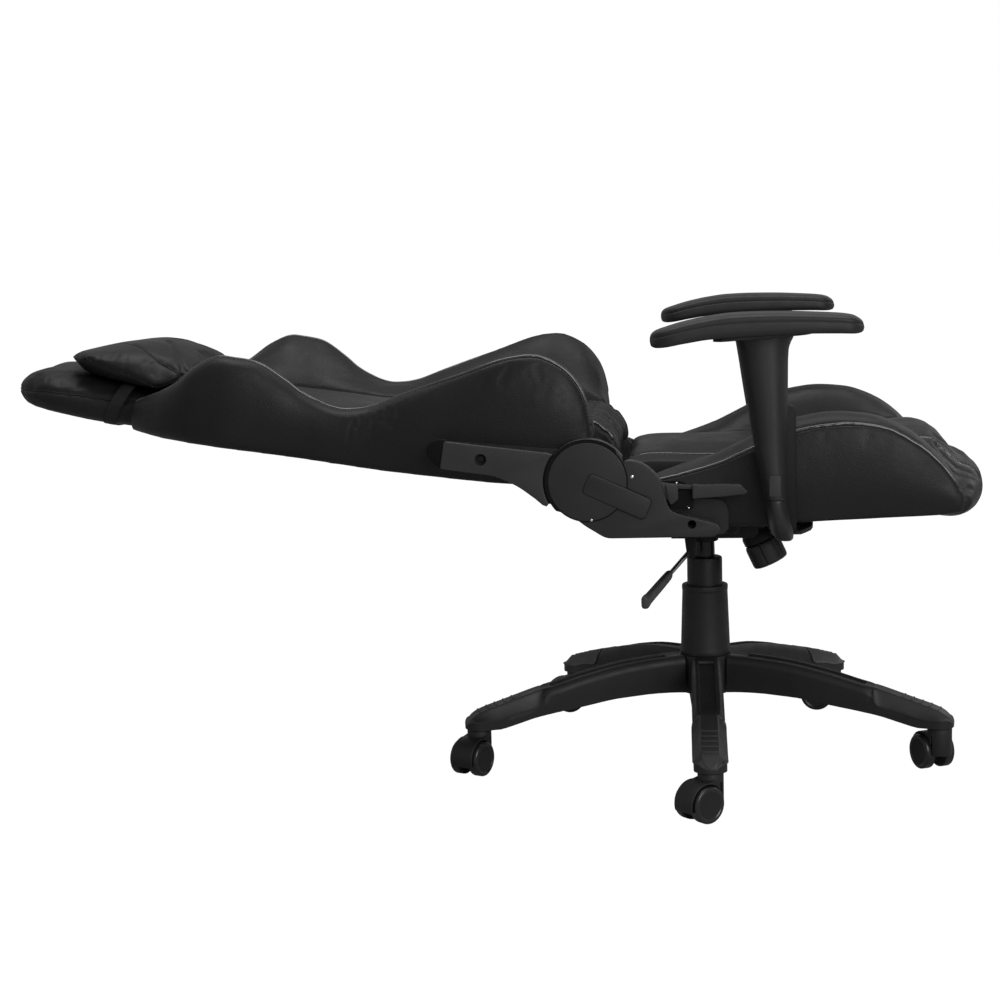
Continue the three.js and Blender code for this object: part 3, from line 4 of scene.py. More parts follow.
import bmesh
import bpy
from mathutils import Matrix, Vector
from mathutils.bvhtree import BVHTree
from mathutils.kdtree import KDTree

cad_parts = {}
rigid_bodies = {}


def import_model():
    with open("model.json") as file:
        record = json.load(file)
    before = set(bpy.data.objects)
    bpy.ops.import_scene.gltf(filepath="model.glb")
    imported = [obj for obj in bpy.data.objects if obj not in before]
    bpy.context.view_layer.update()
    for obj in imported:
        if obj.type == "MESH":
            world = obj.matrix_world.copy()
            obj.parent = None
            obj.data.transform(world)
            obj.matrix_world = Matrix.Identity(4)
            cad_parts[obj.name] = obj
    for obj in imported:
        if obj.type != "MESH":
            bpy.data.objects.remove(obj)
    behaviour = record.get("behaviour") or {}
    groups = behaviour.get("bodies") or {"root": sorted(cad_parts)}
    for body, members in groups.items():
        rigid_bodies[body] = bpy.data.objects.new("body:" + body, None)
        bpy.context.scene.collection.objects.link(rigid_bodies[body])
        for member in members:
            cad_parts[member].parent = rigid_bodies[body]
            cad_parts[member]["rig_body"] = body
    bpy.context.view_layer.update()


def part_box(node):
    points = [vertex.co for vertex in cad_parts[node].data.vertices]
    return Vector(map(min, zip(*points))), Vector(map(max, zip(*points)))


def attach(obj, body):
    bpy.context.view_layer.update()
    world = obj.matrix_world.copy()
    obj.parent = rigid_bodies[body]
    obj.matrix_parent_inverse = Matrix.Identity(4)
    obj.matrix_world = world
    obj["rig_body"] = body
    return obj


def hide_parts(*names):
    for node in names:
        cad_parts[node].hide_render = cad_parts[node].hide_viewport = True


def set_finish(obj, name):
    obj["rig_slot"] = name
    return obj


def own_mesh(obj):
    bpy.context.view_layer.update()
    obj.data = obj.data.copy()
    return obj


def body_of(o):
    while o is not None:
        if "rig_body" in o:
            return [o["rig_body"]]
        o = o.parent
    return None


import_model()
scene = bpy.context.scene


# ---- Studio --------------------------------------------------------------------------------------
# A white studio: a pale floor that runs into a white background, three large soft boxes and a long
# lens at the height of a table. Nothing here belongs to the chair.
lens = bpy.data.cameras.new("view")
lens.lens, lens.sensor_width = 75.17, 36
view = bpy.data.objects.new("view", lens)
scene.collection.objects.link(view)
EYE = (0.288125, -2.828855, 0.739)
turn, down, roll = radians(5.83), radians(7.66), radians(-1.37)
ahead = Vector((-sin(turn), cos(turn), 0))
across = Vector((cos(turn), sin(turn), 0))
gaze = ahead * cos(down) - Vector((0, 0, sin(down)))
head = Vector((0, 0, cos(down))) + ahead * sin(down)
level = across * cos(roll) + head * sin(roll)
upright = head * cos(roll) - across * sin(roll)
view.matrix_world = Matrix((
    (level.x, upright.x, -gaze.x, EYE[0]),
    (level.y, upright.y, -gaze.y, EYE[1]),
    (level.z, upright.z, -gaze.z, EYE[2]),
    (0, 0, 0, 1),
))
scene.camera = view
scene.view_settings.view_transform = "Standard"


def soft_box(name, place, aim, width, height, power):
    lamp = bpy.data.lights.new(name, "AREA")
    lamp.shape, lamp.size, lamp.size_y, lamp.energy = "RECTANGLE", width, height, power
    box = bpy.data.objects.new(name, lamp)
    box.location = place
    box.rotation_euler = (Vector(aim) - Vector(place)).to_track_quat("-Z", "Y").to_euler()
    scene.collection.objects.link(box)


soft_box("overhead", (0.1, 0.2, 3.2), (0.1, 0, 0.3), 3.0, 1.6, 58)
soft_box("front", (1.4, -2.3, 1.4), (0.2, 0, 0.4), 2.0, 1.4, 39)
soft_box("behind_right", (2.4, 2.4, 2.0), (0.1, 0, 0.4), 1.6, 1.6, 9)

sky = bpy.data.worlds.new("studio")
scene.world = sky
sky.use_nodes = True
room = sky.node_tree
backdrop = room.nodes["Background"]
seen = room.nodes.new("ShaderNodeLightPath")
either = room.nodes.new("ShaderNodeMath")
either.operation = "MAXIMUM"
room.links.new(seen.outputs["Is Camera Ray"], either.inputs[0])
room.links.new(seen.outputs["Is Transmission Ray"], either.inputs[1])
strength = room.nodes.new("ShaderNodeMapRange")
strength.inputs["To Min"].default_value = 0.30
strength.inputs["To Max"].default_value = 1.0
shiny = room.nodes.new("ShaderNodeMath")
shiny.operation = "MULTIPLY_ADD"
shiny.inputs[1].default_value = 0.12
room.links.new(seen.outputs["Is Glossy Ray"], shiny.inputs[0])
room.links.new(either.outputs[0], shiny.inputs[2])
room.links.new(shiny.outputs[0], strength.inputs["Value"])
room.links.new(strength.outputs["Result"], backdrop.inputs["Strength"])
backdrop.inputs["Color"].default_value = (1, 1, 1, 1)

bm = bmesh.new()
bmesh.ops.create_grid(bm, x_segments=1, y_segments=1, size=30)
ground = bpy.data.meshes.new("floor")
bm.to_mesh(ground)
bm.free()
floor = bpy.data.objects.new("floor", ground)
scene.collection.objects.link(floor)
paint = bpy.data.materials.new("studio_floor")
paint.use_nodes = True
tree = paint.node_tree
tree.nodes.clear()
matt = tree.nodes.new("ShaderNodeBsdfDiffuse")
matt.inputs["Color"].default_value = (0.45, 0.45, 0.45, 1)
glow = tree.nodes.new("ShaderNodeEmission")
glow.inputs["Strength"].default_value = 1.09
mixed = tree.nodes.new("ShaderNodeMixShader")
path = tree.nodes.new("ShaderNodeLightPath")
share = tree.nodes.new("ShaderNodeMath")
share.operation = "MULTIPLY"
share.inputs[1].default_value = 0.93
done = tree.nodes.new("ShaderNodeOutputMaterial")
tree.links.new(path.outputs["Is Camera Ray"], share.inputs[0])
tree.links.new(share.outputs[0], mixed.inputs["Fac"])
tree.links.new(matt.outputs[0], mixed.inputs[1])
tree.links.new(glow.outputs[0], mixed.inputs[2])
tree.links.new(mixed.outputs[0], done.inputs["Surface"])
ground.materials.append(paint)


# ---- Star base -----------------------------------------------------------------------------------
# A five-legged star moulded in glass-filled nylon, hollow underneath, with cross ribs between thin
# walls. Each leg has a sunk channel along its top. The gas lift's tube wedges in the hub.
low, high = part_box("gas_lift_tube")
column = Vector(((low.x + high.x) / 2, (low.y + high.y) / 2, 0))
# Pieces are drawn in millimetres, from the column's axis and the floor.
ON_COLUMN = Matrix.Translation(column) @ Matrix.Scale(0.001, 4)
AS_DRAWN = Matrix()
SEAM_GAP = 0.01


def smooth_line(rows):
    """Reads the value or values at any place from a few stations, without overshoot between them."""
    xs = [row[0] for row in rows]
    ys = [row[1:] for row in rows]
    slopes = []
    for k in range(len(rows)):
        slope = []
        for c in range(len(ys[0])):
            if k in (0, len(rows) - 1):
                a, b = (0, 1) if k == 0 else (-2, -1)
                slope.append((ys[b][c] - ys[a][c]) / (xs[b] - xs[a]))
                continue
            back = (ys[k][c] - ys[k - 1][c]) / (xs[k] - xs[k - 1])
            on = (ys[k + 1][c] - ys[k][c]) / (xs[k + 1] - xs[k])
            slope.append(0 if back * on <= 0 else 2 * back * on / (back + on))
        slopes.append(slope)

    def at(x):
        x = min(max(x, xs[0]), xs[-1])
        k = max(i for i in range(len(xs) - 1) if xs[i] <= x)
        h = xs[k + 1] - xs[k]
        t = (x - xs[k]) / h
        a, b, c, d = 2 * t**3 - 3 * t**2 + 1, t**3 - 2 * t**2 + t, 3 * t**2 - 2 * t**3, t**3 - t**2
        values = [
            a * y0 + b * h * m0 + c * y1 + d * h * m1
            for y0, y1, m0, m1 in zip(ys[k], ys[k + 1], slopes[k], slopes[k + 1])
        ]
        return values if len(values) > 1 else values[0]

    return at


def spread(start, end, count):
    return [start + (end - start) * k / count for k in range(count + 1)]


def draw_along(bm, rings, caps=True):
    """A ring is drawn from a few points and extruded from station to station, moved to fit each."""
    ring = [bm.verts.new(p) for p in rings[0]]
    count = len(ring)
    pairs = [(k, (k + 1) % count) for k in range(count)]
    edges = [bm.edges.new((ring[a], ring[b])) for a, b in pairs]
    first = ring
    for points in rings[1:]:
        place = {v: k for k, v in enumerate(ring)}
        grown = bmesh.ops.extrude_edge_only(bm, edges=edges)["geom"]
        fresh = [None] * count
        for v in grown:
            if isinstance(v, bmesh.types.BMVert):
                for e in v.link_edges:
                    k = place.get(e.other_vert(v))
                    if k is not None:
                        fresh[k] = v
        for v, p in zip(fresh, points):
            v.co = p
        ring = fresh
        edges = [bm.edges.get((ring[a], ring[b])) for a, b in pairs]
    if caps:
        bm.faces.new(first)
        bm.faces.new(ring)


def turned(bm, profile, sides):
    """A profile of radius and height, spun all the way round."""
    line = [bm.verts.new((r, 0, h)) for r, h in profile]
    edges = [bm.edges.new(pair) for pair in zip(line, line[1:])]
    bmesh.ops.spin(
        bm, geom=line + edges, cent=(0, 0, 0), axis=(0, 0, 1), dvec=(0, 0, 0), angle=tau, steps=sides,
        use_merge=True, use_normal_flip=False, use_duplicate=False,
    )


def joined(bm, part):
    """Adds a part that was drawn on its own."""
    mesh = bpy.data.meshes.new("part")
    part.to_mesh(mesh)
    part.free()
    bm.from_mesh(mesh)
    bpy.data.meshes.remove(mesh)


def as_piece(bm, name, body, *materials):
    """Makes a drawn mesh an object that rides on a body."""
    mesh = bpy.data.meshes.new(name)
    bm.to_mesh(mesh)
    bm.free()
    for material in materials:
        mesh.materials.append(material)
    made = bpy.data.objects.new(name, mesh)
    scene.collection.objects.link(made)
    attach(made, body)
    return made


def finished(bm, name, material, body, *nodes, place=AS_DRAWN, crease=35):
    """Closes the seams of a drawn piece, puts it in its place and makes it an object."""
    bmesh.ops.remove_doubles(bm, verts=bm.verts, dist=SEAM_GAP)
    bmesh.ops.transform(bm, matrix=ON_COLUMN @ place, verts=bm.verts)
    bmesh.ops.recalc_face_normals(bm, faces=bm.faces)
    for face in bm.faces:
        face.smooth = True
    for edge in bm.edges:
        edge.smooth = edge.calc_face_angle(0) < radians(crease)
    made = as_piece(bm, name, body, material)
    if nodes:
        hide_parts(*nodes)
    return made


def start_material(name, colour, roughness, specular):
    made = bpy.data.materials.new(name)
    made.use_nodes = True
    tree = made.node_tree
    skin = tree.nodes["Principled BSDF"]
    skin.inputs["Base Color"].default_value = (*colour, 1)
    skin.inputs["Roughness"].default_value = roughness
    skin.inputs["Specular IOR Level"].default_value = specular
    return made, tree, skin, tree.nodes.new("ShaderNodeTexCoord").outputs["Object"]


def speckle(tree, spot, scale, detail, rough=0.5):
    noise = tree.nodes.new("ShaderNodeTexNoise")
    noise.inputs["Scale"].default_value = scale
    noise.inputs["Detail"].default_value = detail
    noise.inputs["Roughness"].default_value = rough
    tree.links.new(spot, noise.inputs["Vector"])
    return noise.outputs["Fac"]


def remap(tree, value, low, high, to_low, to_high):
    made = tree.nodes.new("ShaderNodeMapRange")
    for key, number in zip(("From Min", "From Max", "To Min", "To Max"), (low, high, to_low, to_high)):
        made.inputs[key].default_value = number
    tree.links.new(value, made.inputs["Value"])
    return made.outputs["Result"]


def raised(tree, height, distance, strength=1.0, below=None):
    bump = tree.nodes.new("ShaderNodeBump")
    bump.inputs["Distance"].default_value = distance
    bump.inputs["Strength"].default_value = strength
    tree.links.new(height, bump.inputs["Height"])
    if below is not None:
        tree.links.new(below, bump.inputs["Normal"])
    return bump.outputs["Normal"]


def tint(tree, value, dark, light, skin):
    mix = tree.nodes.new("ShaderNodeMix")
    mix.data_type = "RGBA"
    mix.inputs["A"].default_value = (*dark, 1)
    mix.inputs["B"].default_value = (*light, 1)
    tree.links.new(value, mix.inputs["Factor"])
    tree.links.new(mix.outputs["Result"], skin.inputs["Base Color"])


def tone_and_edge_highlight(tree, drift, edge_highlight, dark, light, skin):
    """Slow drifts of tone, and a painted highlight: a lighter tone on sharp outer edges."""
    edges = tree.nodes.new("ShaderNodeNewGeometry").outputs["Pointiness"]
    both = tree.nodes.new("ShaderNodeMath")
    both.operation, both.use_clamp = "ADD", True
    tree.links.new(drift, both.inputs[0])
    tree.links.new(remap(tree, edges, 0.52, 0.62, 0, edge_highlight), both.inputs[1])
    tint(tree, both.outputs[0], dark, light, skin)


def moulded_plastic(name, dark, light, roughness, grain, depth, specular=0.3, edge_highlight=0.6):
    """Moulded plastic: fine spark texture, slow drifts of tone, faint scuffs and a painted highlight on sharp
    edges.
    """
    made, tree, skin, spot = start_material(name, dark, roughness, specular)
    tone_and_edge_highlight(tree, remap(tree, speckle(tree, spot, 14, 4), 0.3, 0.7, 0, 0.45), edge_highlight, dark, light, skin)
    gloss = remap(tree, speckle(tree, spot, 45, 5, 0.6), 0.3, 0.7, roughness - 0.07, roughness + 0.08)
    tree.links.new(gloss, skin.inputs["Roughness"])
    fine = raised(tree, speckle(tree, spot, grain, 2), depth)
    stretch = tree.nodes.new("ShaderNodeMapping")
    stretch.inputs["Scale"].default_value = (40, 40, 900)
    stretch.inputs["Rotation"].default_value = (0.4, 0.9, 0.3)
    tree.links.new(spot, stretch.inputs["Vector"])
    scuffs = remap(tree, speckle(tree, stretch.outputs[0], 1, 3), 0.62, 0.8, 0, 1)
    tree.links.new(raised(tree, scuffs, 0.00006, 0.5, fine), skin.inputs["Normal"])
    return made


nylon = moulded_plastic("black_nylon", (0.0095, 0.0095, 0.0100), (0.020, 0.020, 0.021), 0.5, 1600, 0.00007)

HUB_TOP, HUB_FOOT, BORE = 141, 91, 24.4
LEG_REACH, LEG_HALF, LEG_WALL, TIP_FLOOR, CASTER_REACH = 320, 20.75, 3.2, 60, 322
TIP_START = LEG_REACH + 3
CHANNEL_START, CHANNEL_END, PAD_START = 58, 222, 226
LEG_ANGLES = [angle + 1 for angle in (-90, -18, 54, 126, 198)]
leg_top = smooth_line([
    (30, 141.2), (42, 141), (107, 136.2), (176, 123.5), (213.5, 113.7), (240, 107.6), (267.5, 99.6),
    (294, 91.6), (308, 87.6), (321, 83), (329, 78.6), (336, 72.5), (341, 66),
])
leg_floor = smooth_line([
    (30, 90.5), (55, 92.3), (80, 92.7), (111, 91.2), (139, 89.3), (157, 86.5), (185.5, 82), (213.5, 78.1),
    (247, 72.5), (271, 66.3), (294, 60.6), (298, 60), (345, 60),
])
# Lower edge of the grip pad on a leg's flank; the leg's shoulders slope in above it.
pad_edge = smooth_line([
    (235.5, 110), (235.9, 104), (236.8, 97), (239, 91), (243.5, 86), (252, 83.4), (274, 79.4),
    (303, 72.2), (316, 71.2), (332, 70.8), (345, 70.6),
])


def leg_corner(reach):
    """Height of the corner between a leg's sloping shoulder and its wall, under the grip pad."""
    return min(pad_edge(reach), leg_top(reach) - 3 - 8.5 * min(1, max(0, (300 - reach) / 30)))


def leg_width(reach, inset=0):
    into = max(0, reach - TIP_START) / (17.75 - inset)
    return (LEG_HALF - inset) * sqrt(max(0, 1 - into * into))


def leg_ring(reach, inset=0.0):
    """One cut across a leg, from the lower edge of one wall over the top to that of the other."""
    top, floor = leg_top(reach) - inset, leg_floor(reach)
    wide = leg_width(reach, inset)
    share = wide / LEG_HALF
    pad = min(max((reach - PAD_START) / 12, 0), 1)
    pad = pad * pad * (3 - 2 * pad)
    crown = (wide - 5.4 * share) * (1 - pad) + 11 * share * pad
    low = (top - 11.5) * (1 - pad) + (leg_corner(reach) + 0.6 - inset) * pad
    sunk = 2.6 if CHANNEL_START < reach < CHANNEL_END else 0
    plain = ((wide, low), (wide - 0.25, top - 8.5), (wide - 1.6, top - 4.6), (crown + 0.9, top - 1.3))
    slope = [
        (wide + (crown + 0.8 - wide) * t, low + (top - 0.9 - low) * t - 0.8 * sin(pi * t) * share)
        for t in (0, 0.3, 0.65, 1)
    ]
    half = [(wide, floor), (wide, floor + 0.8), (wide, (floor + low) / 2)]
    half += [
        (a[0] * (1 - pad) + b[0] * pad, a[1] * (1 - pad) + b[1] * pad) for a, b in zip(plain, slope)
    ]
    edge = min(10.9, crown - 2.2)
    half += [(crown, top - 0.35), (crown - 1.6 * share, top), (edge, top), (edge - 0.3, top - 0.3),
             (edge - 0.5, top - sunk + 0.2), (edge - 1, top - sunk)]
    half = [(min(max(y, 0), wide), z) for y, z in half]
    return [(reach, y, z) for y, z in half] + [(reach, -y, z) for y, z in reversed(half)]


def leg_walls(reach):
    """The outer skin and, inside it, the hollow: one closed ring."""
    inner = [(x, y, max(z, leg_floor(reach))) for x, y, z in leg_ring(reach, LEG_WALL)]
    return leg_ring(reach) + inner[::-1]


reaches = [36, 46, 56, 58, 59.5, 64] + spread(76, 210, 9) + [216, 221, 223, 228, 232, 236]
reaches += spread(240, 316, 8)
reaches += [TIP_START + 17.6 * sin(radians(a)) for a in (0, 14, 28, 42, 55, 66, 76, 84)]
bm = bmesh.new()
draw_along(bm, [leg_walls(r) for r in reaches])
for reach in spread(52, 297, 4):
    top, floor = leg_top(reach) - 5, leg_floor(reach) + 0.6
    if reach > PAD_START:
        top = min(top, pad_edge(reach) - 1.5)
    rib = bmesh.ops.create_cube(bm, size=1)["verts"]
    bmesh.ops.scale(bm, vec=(2.6, 2 * LEG_HALF - 5, top - floor), verts=rib)
    bmesh.ops.translate(bm, vec=(reach, 0, (top + floor) / 2), verts=rib)
spine = bmesh.ops.create_grid(bm, x_segments=12, y_segments=1, size=0.5)["verts"]
for v in spine:
    reach = 54 + 245 * (v.co.x + 0.5)
    v.co = Vector((reach, 0, leg_floor(reach) + 0.6 if v.co.y < 0 else leg_top(reach) - 4.5))
bmesh.ops.solidify(bm, geom=list({f for v in spine for f in v.link_faces}), thickness=2.6)
boss = bmesh.ops.create_cone(
    bm, cap_ends=True, segments=32, radius1=10.5, radius2=10.5, depth=16)["verts"]
bmesh.ops.translate(bm, vec=(CASTER_REACH, 0, TIP_FLOOR + 8.3), verts=boss)
star = bmesh.new()
leg = bpy.data.meshes.new("leg")
bm.to_mesh(leg)
bm.free()
for angle in LEG_ANGLES:
    known = set(star.verts)
    star.from_mesh(leg)
    new = [v for v in star.verts if v not in known]
    bmesh.ops.rotate(star, cent=(0, 0, 0), matrix=Matrix.Rotation(radians(angle), 3, "Z"), verts=new)
turned(star, [
    (BORE, HUB_TOP - 1), (25.2, HUB_TOP), (34.6, HUB_TOP + 0.02), (36.4, HUB_TOP - 0.7), (37, HUB_TOP - 2.6),
    (37, HUB_FOOT + 4), (36, HUB_FOOT), (33, HUB_FOOT - 3), (25.2, HUB_FOOT - 3), (BORE, HUB_FOOT - 2),
    (BORE, HUB_TOP - 1),
], 72)
base_star = finished(star, "star_base", nylon, "base", "base_star", crease=32)
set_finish(base_star, "nylon")
bpy.data.meshes.remove(leg)


# ---- Grip pads -----------------------------------------------------------------------------------
# Five soft plastic saddles pressed over the leg ends. Each has a rolled lip along its lower edge and
# five raised bars on top, so that feet resting on the base don't slip.
pad_plastic = moulded_plastic(
    "soft_pad", (0.0175, 0.0175, 0.0180), (0.034, 0.034, 0.035), 0.46, 1100, 0.00009, specular=0.34)
BAR_START, BAR_PITCH, BARS = 274.2, 11.8, 5
PAD_PROUD, PAD_INSIDE, PAD_NARROWS = 0.45, -1.6, 262


def pad_ring(reach, proud):
    """A cut across the pad: its lip, the sloping flank, the top strip and the same again."""
    top = leg_top(reach) + proud
    wide = leg_width(reach) + proud
    share = leg_width(reach) / LEG_HALF
    low = min(pad_edge(reach), top - 1.2)
    crown = 11.4 * share
    if reach < PAD_NARROWS:
        wide = crown + (wide - crown) * min(1, (top - low) / (top - leg_corner(reach)))
    lip = 1.0 if proud > 0 else 0
    high = top - low
    half = [(wide - 0.2, low - 0.5), (wide + lip, low - 0.35), (wide + lip + 0.15, low + min(0.7, high / 4)),
            (wide + 0.1, low + min(1.7, high / 2))]
    foot_y, foot_z = half[-1]
    for t in (0.12, 0.35, 0.6, 0.82, 0.95):
        sag = 0.9 * sin(pi * t) * share
        half.append((foot_y + (crown + 0.5 - foot_y) * t, foot_z + (top - 0.8 - foot_z) * t - sag))
    half += [(crown + 0.1, top - 0.45), (crown - 0.6 * share, top + 0.1), (crown - 1.4 * share, top),
             (crown * 0.5, top - 0.1), (crown * 0.08, top - 0.1)]
    half = [(max(y, 0.02), z) for y, z in half]
    return [(reach, y, z) for y, z in half] + [(reach, -y, z) for y, z in reversed(half)]


stations = [235.4, 235.8, 236.6, 238.2, 240.6, 244, 249] + spread(256, 316, 8)
stations += [TIP_START + 18.1 * sin(radians(a)) for a in (0, 12, 24, 36, 47, 57, 66, 74, 81, 87)]
pad = bmesh.new()
draw_along(pad, [pad_ring(r, PAD_PROUD) + pad_ring(r, PAD_INSIDE)[::-1] for r in stations])
for k in range(BARS):
    reach = BAR_START + k * BAR_PITCH
    fall = leg_top(reach + 2) - leg_top(reach - 2)
    bar = bmesh.ops.create_cube(pad, size=1)["verts"]
    bmesh.ops.scale(pad, vec=(2.8, 22.5, 3), verts=bar)
    edges = list({e for v in bar for e in v.link_edges})
    bar = bmesh.ops.bevel(
        pad, geom=edges, offset=0.9, affect="EDGES", segments=3, profile=0.5, material=-1)["verts"]
    matrix = Matrix.Translation((reach, 0, leg_top(reach) - 0.05)) @ Matrix.Rotation(
        -fall / 4, 4, "Y")
    bmesh.ops.transform(pad, matrix=matrix, verts=bar)
for k, angle in enumerate(LEG_ANGLES):
    turn_leg = Matrix.Rotation(radians(angle), 4, "Z")
    grip = finished(
        pad.copy(), f"grip_{k + 1}", pad_plastic, "base", f"grip_pad_{k + 1}", place=turn_leg, crease=30)
    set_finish(grip, "soft_plastic")
pad.free()


# ---- Casters -------------------------------------------------------------------------------------
# Twin-wheel casters: a moulded nylon hood on a steel stem, and two wheels on one axle that trail
# behind the stem. Each wheel has a polished rim round a matt face.
TRAIL, WHEEL, RIM_START = 19, 23.25, 26.2
TRAILING = (222, 116, 172, 205, 243)
wheel_face = moulded_plastic(
    "wheel_face", (0.0120, 0.0120, 0.0122), (0.021, 0.021, 0.021), 0.6, 1500, 0.00008, specular=0.25)
wheel_rim, tree, skin, spot = start_material("wheel_rim", (0.013, 0.013, 0.0132), 0.22, 0.5)
tint(tree, remap(tree, speckle(tree, spot, 60, 4), 0.35, 0.7, 0, 0.6),
     (0.011, 0.011, 0.0112), (0.018, 0.018, 0.018), skin)
tree.links.new(remap(tree, speckle(tree, spot, 90, 4, 0.6), 0.3, 0.75, 0.16, 0.3), skin.inputs["Roughness"])
tree.links.new(raised(tree, speckle(tree, spot, 300, 2), 0.00002, 0.4), skin.inputs["Normal"])


def plate(bm, outline, near, far, edge, steps=3):
    """A flat outline in x and z, given a thickness along y and softly rounded rims."""
    ring = [bm.verts.new((x, near, z)) for x, z in outline]
    face = bm.faces.new(ring)
    grown = bmesh.ops.extrude_face_region(bm, geom=[face])["geom"]
    top = [v for v in grown if isinstance(v, bmesh.types.BMVert)]
    bmesh.ops.translate(bm, vec=(0, far - near, 0), verts=top)
    faces = [f for f in bm.faces if any(v in ring for v in f.verts)] + [
        f for f in grown if isinstance(f, bmesh.types.BMFace)]
    verts = set(ring) | set(top)
    if edge:
        caps = {f for f in faces if len(f.verts) == len(ring) and all(
            abs(v.co.y - f.verts[0].co.y) < 1e-6 for v in f.verts)}
        rims = list({e for f in caps for e in f.edges})
        made = bmesh.ops.bevel(
            bm, geom=rims, offset=edge, affect="EDGES", segments=steps, profile=0.5, material=-1,
            clamp_overlap=True)
        verts = {v for v in verts if v.is_valid} | set(made["verts"])
    return verts


def bow(centre, radius, start, end, steps):
    """Points on an arc in x and z, angles in degrees."""
    return [
        (centre[0] + radius * cos(radians(a)), centre[1] + radius * sin(radians(a)))
        for a in spread(start, end, steps)
    ]


hood = bmesh.new()
axle = (TRAIL, WHEEL)
shell = [(-2, 52.2), (4, 52.2)] + bow(axle, 27.05, 97, -17, 30)
shell += bow(axle, 24.6, -17, 138, 36) + [(-2, 37)]
plate(hood, shell, -16.2, 16.2, 1.1, 3)
plate(hood, [(-9, 30), (-4, 48), (10, 48)] + bow(axle, 25.5, 80, -10, 10) + [(26, 17), (12, 16)], -5, 5, 0.8)
skirt = bow((0, 0), 16.2, 112, 248, 24) + bow((0, 0), 13.2, 248, 112, 20)
wall = plate(hood, skirt, 22, 55, 0.9)
bmesh.ops.rotate(hood, cent=(0, 0, 0), matrix=Matrix.Rotation(pi / 2, 3, "X"), verts=list(wall))
turned(hood, [
    (0, 47), (15, 47), (16.2, 48.5), (16.2, 57.6), (15.6, 58.7), (14.4, 59.2), (6, 59.3), (5.5, 60),
    (5.5, 72.5), (4, 74), (0, 74),
], 56)

wheels = bmesh.new()
side = [(0, 20.3), (4.5, 20.3), (17.2, 20.3), (17.7, 20.5), (18.2, 21.1), (18.8, 21.45), (20.2, 21.5),
        (21.6, 21.3), (22.7, 20.4), (23.2, 19.2), (WHEEL, 18.4), (WHEEL, 10), (22.9, 8.4), (22, 7.9),
        (4, 7.9)]
turned(wheels, side, 72)
bmesh.ops.mirror(wheels, geom=wheels.verts[:] + wheels.edges[:] + wheels.faces[:], axis="Z", merge_dist=0)
bmesh.ops.create_cone(wheels, cap_ends=True, segments=24, radius1=3, radius2=3, depth=18)
bmesh.ops.rotate(wheels, cent=(0, 0, 0), matrix=Matrix.Rotation(-pi / 2, 3, "X"), verts=wheels.verts)
bmesh.ops.translate(wheels, vec=(TRAIL, 0, WHEEL), verts=wheels.verts)

for k, (angle, trail) in enumerate(zip(LEG_ANGLES, TRAILING)):
    stand = Matrix.Translation(
        (CASTER_REACH * cos(radians(angle)), CASTER_REACH * sin(radians(angle)), 0)
    ) @ Matrix.Rotation(radians(trail), 4, "Z")
    name = f"caster_{k + 1}"
    fork = finished(hood.copy(), f"{name}_hood", nylon, name, f"caster_hood_{k + 1}", place=stand)
    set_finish(fork, "nylon")
    pair = finished(
        wheels.copy(), f"{name}_wheels", wheel_face, f"wheels_{k + 1}", f"caster_wheels_{k + 1}",
        place=stand, crease=40)
    pair.data.materials.append(wheel_rim)
    hub = ON_COLUMN @ stand @ Vector((TRAIL, 0, WHEEL))
    for face in pair.data.polygons:
        face.material_index = int((face.center - hub).length > RIM_START / 1000)
    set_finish(pair, "wheel_plastic")
hood.free()
wheels.free()


# ---- Gas lift ------------------------------------------------------------------------------------
# A black steel tube wedged in the hub, a nylon sleeve that hides it, and the lift's own rod, which
# carries the seat and slides in the tube. The rod is ground bright under thin black oxide.
def coated_steel(name, colour, roughness, specular, metallic=0.0):
    """Powder-coated steel: a fine orange-peel surface, uneven gloss, slow drifts of tone and a painted
    highlight on sharp edges.
    """
    made, tree, skin, spot = start_material(name, colour, roughness, specular)
    skin.inputs["Metallic"].default_value = metallic
    light = tuple(c * 1.9 for c in colour)
    tone_and_edge_highlight(tree, remap(tree, speckle(tree, spot, 22, 4), 0.35, 0.7, 0, 0.4), 0.7, colour, light, skin)
    tree.links.new(
        remap(tree, speckle(tree, spot, 70, 5, 0.65), 0.3, 0.75, roughness - 0.08, roughness + 0.1),
        skin.inputs["Roughness"])
    tree.links.new(raised(tree, speckle(tree, spot, 420, 2), 0.00008, 0.7), skin.inputs["Normal"])
    return made


black_steel = coated_steel("black_steel", (0.0095, 0.0095, 0.0098), 0.42, 0.26)
# The rod's near-black, darker than the tube's steel, is partly its black oxide and partly painted shade under
# the seat.
rod_steel = coated_steel("rod_steel", (0.0040, 0.0040, 0.0042), 0.24, 0.3)


def lift_piece(name, material, body, node, profile, slot_name):
    bm = bmesh.new()
    turned(bm, profile, 72)
    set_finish(finished(bm, name, material, body, node), slot_name)


lift_piece("lift_tube", black_steel, "base", "gas_lift_tube", [
    (0, 64), (20, 64), (24, 91), (24, 272), (23.4, 274.2), (22, 275), (15.4, 275), (14.6, 274.2), (14.5, 70),
    (0, 70),
], "black_steel")
lift_piece("column_sleeve", nylon, "base", "column_cover", [
    (31.8, 141.4), (34.4, 141.4), (34.7, 142.2), (34.7, 146), (34.2, 148.5), (33.6, 152), (31.0, 227),
    (31.0, 229.5), (31.35, 230.1), (31.4, 231), (31.4, 235.4), (30.8, 236.6), (29.6, 237), (25.4, 237),
    (24.5, 236.4), (24.5, 233.8), (28.4, 230), (31.8, 141.4),
], "nylon")
lift_piece("lift_rod", rod_steel, "lift", "gas_spring", [
    (0, 100), (12, 100), (14, 103), (14, 284), (12.9, 329), (4.4, 329), (4, 329.4), (4, 332), (0, 332),
], "black_steel")


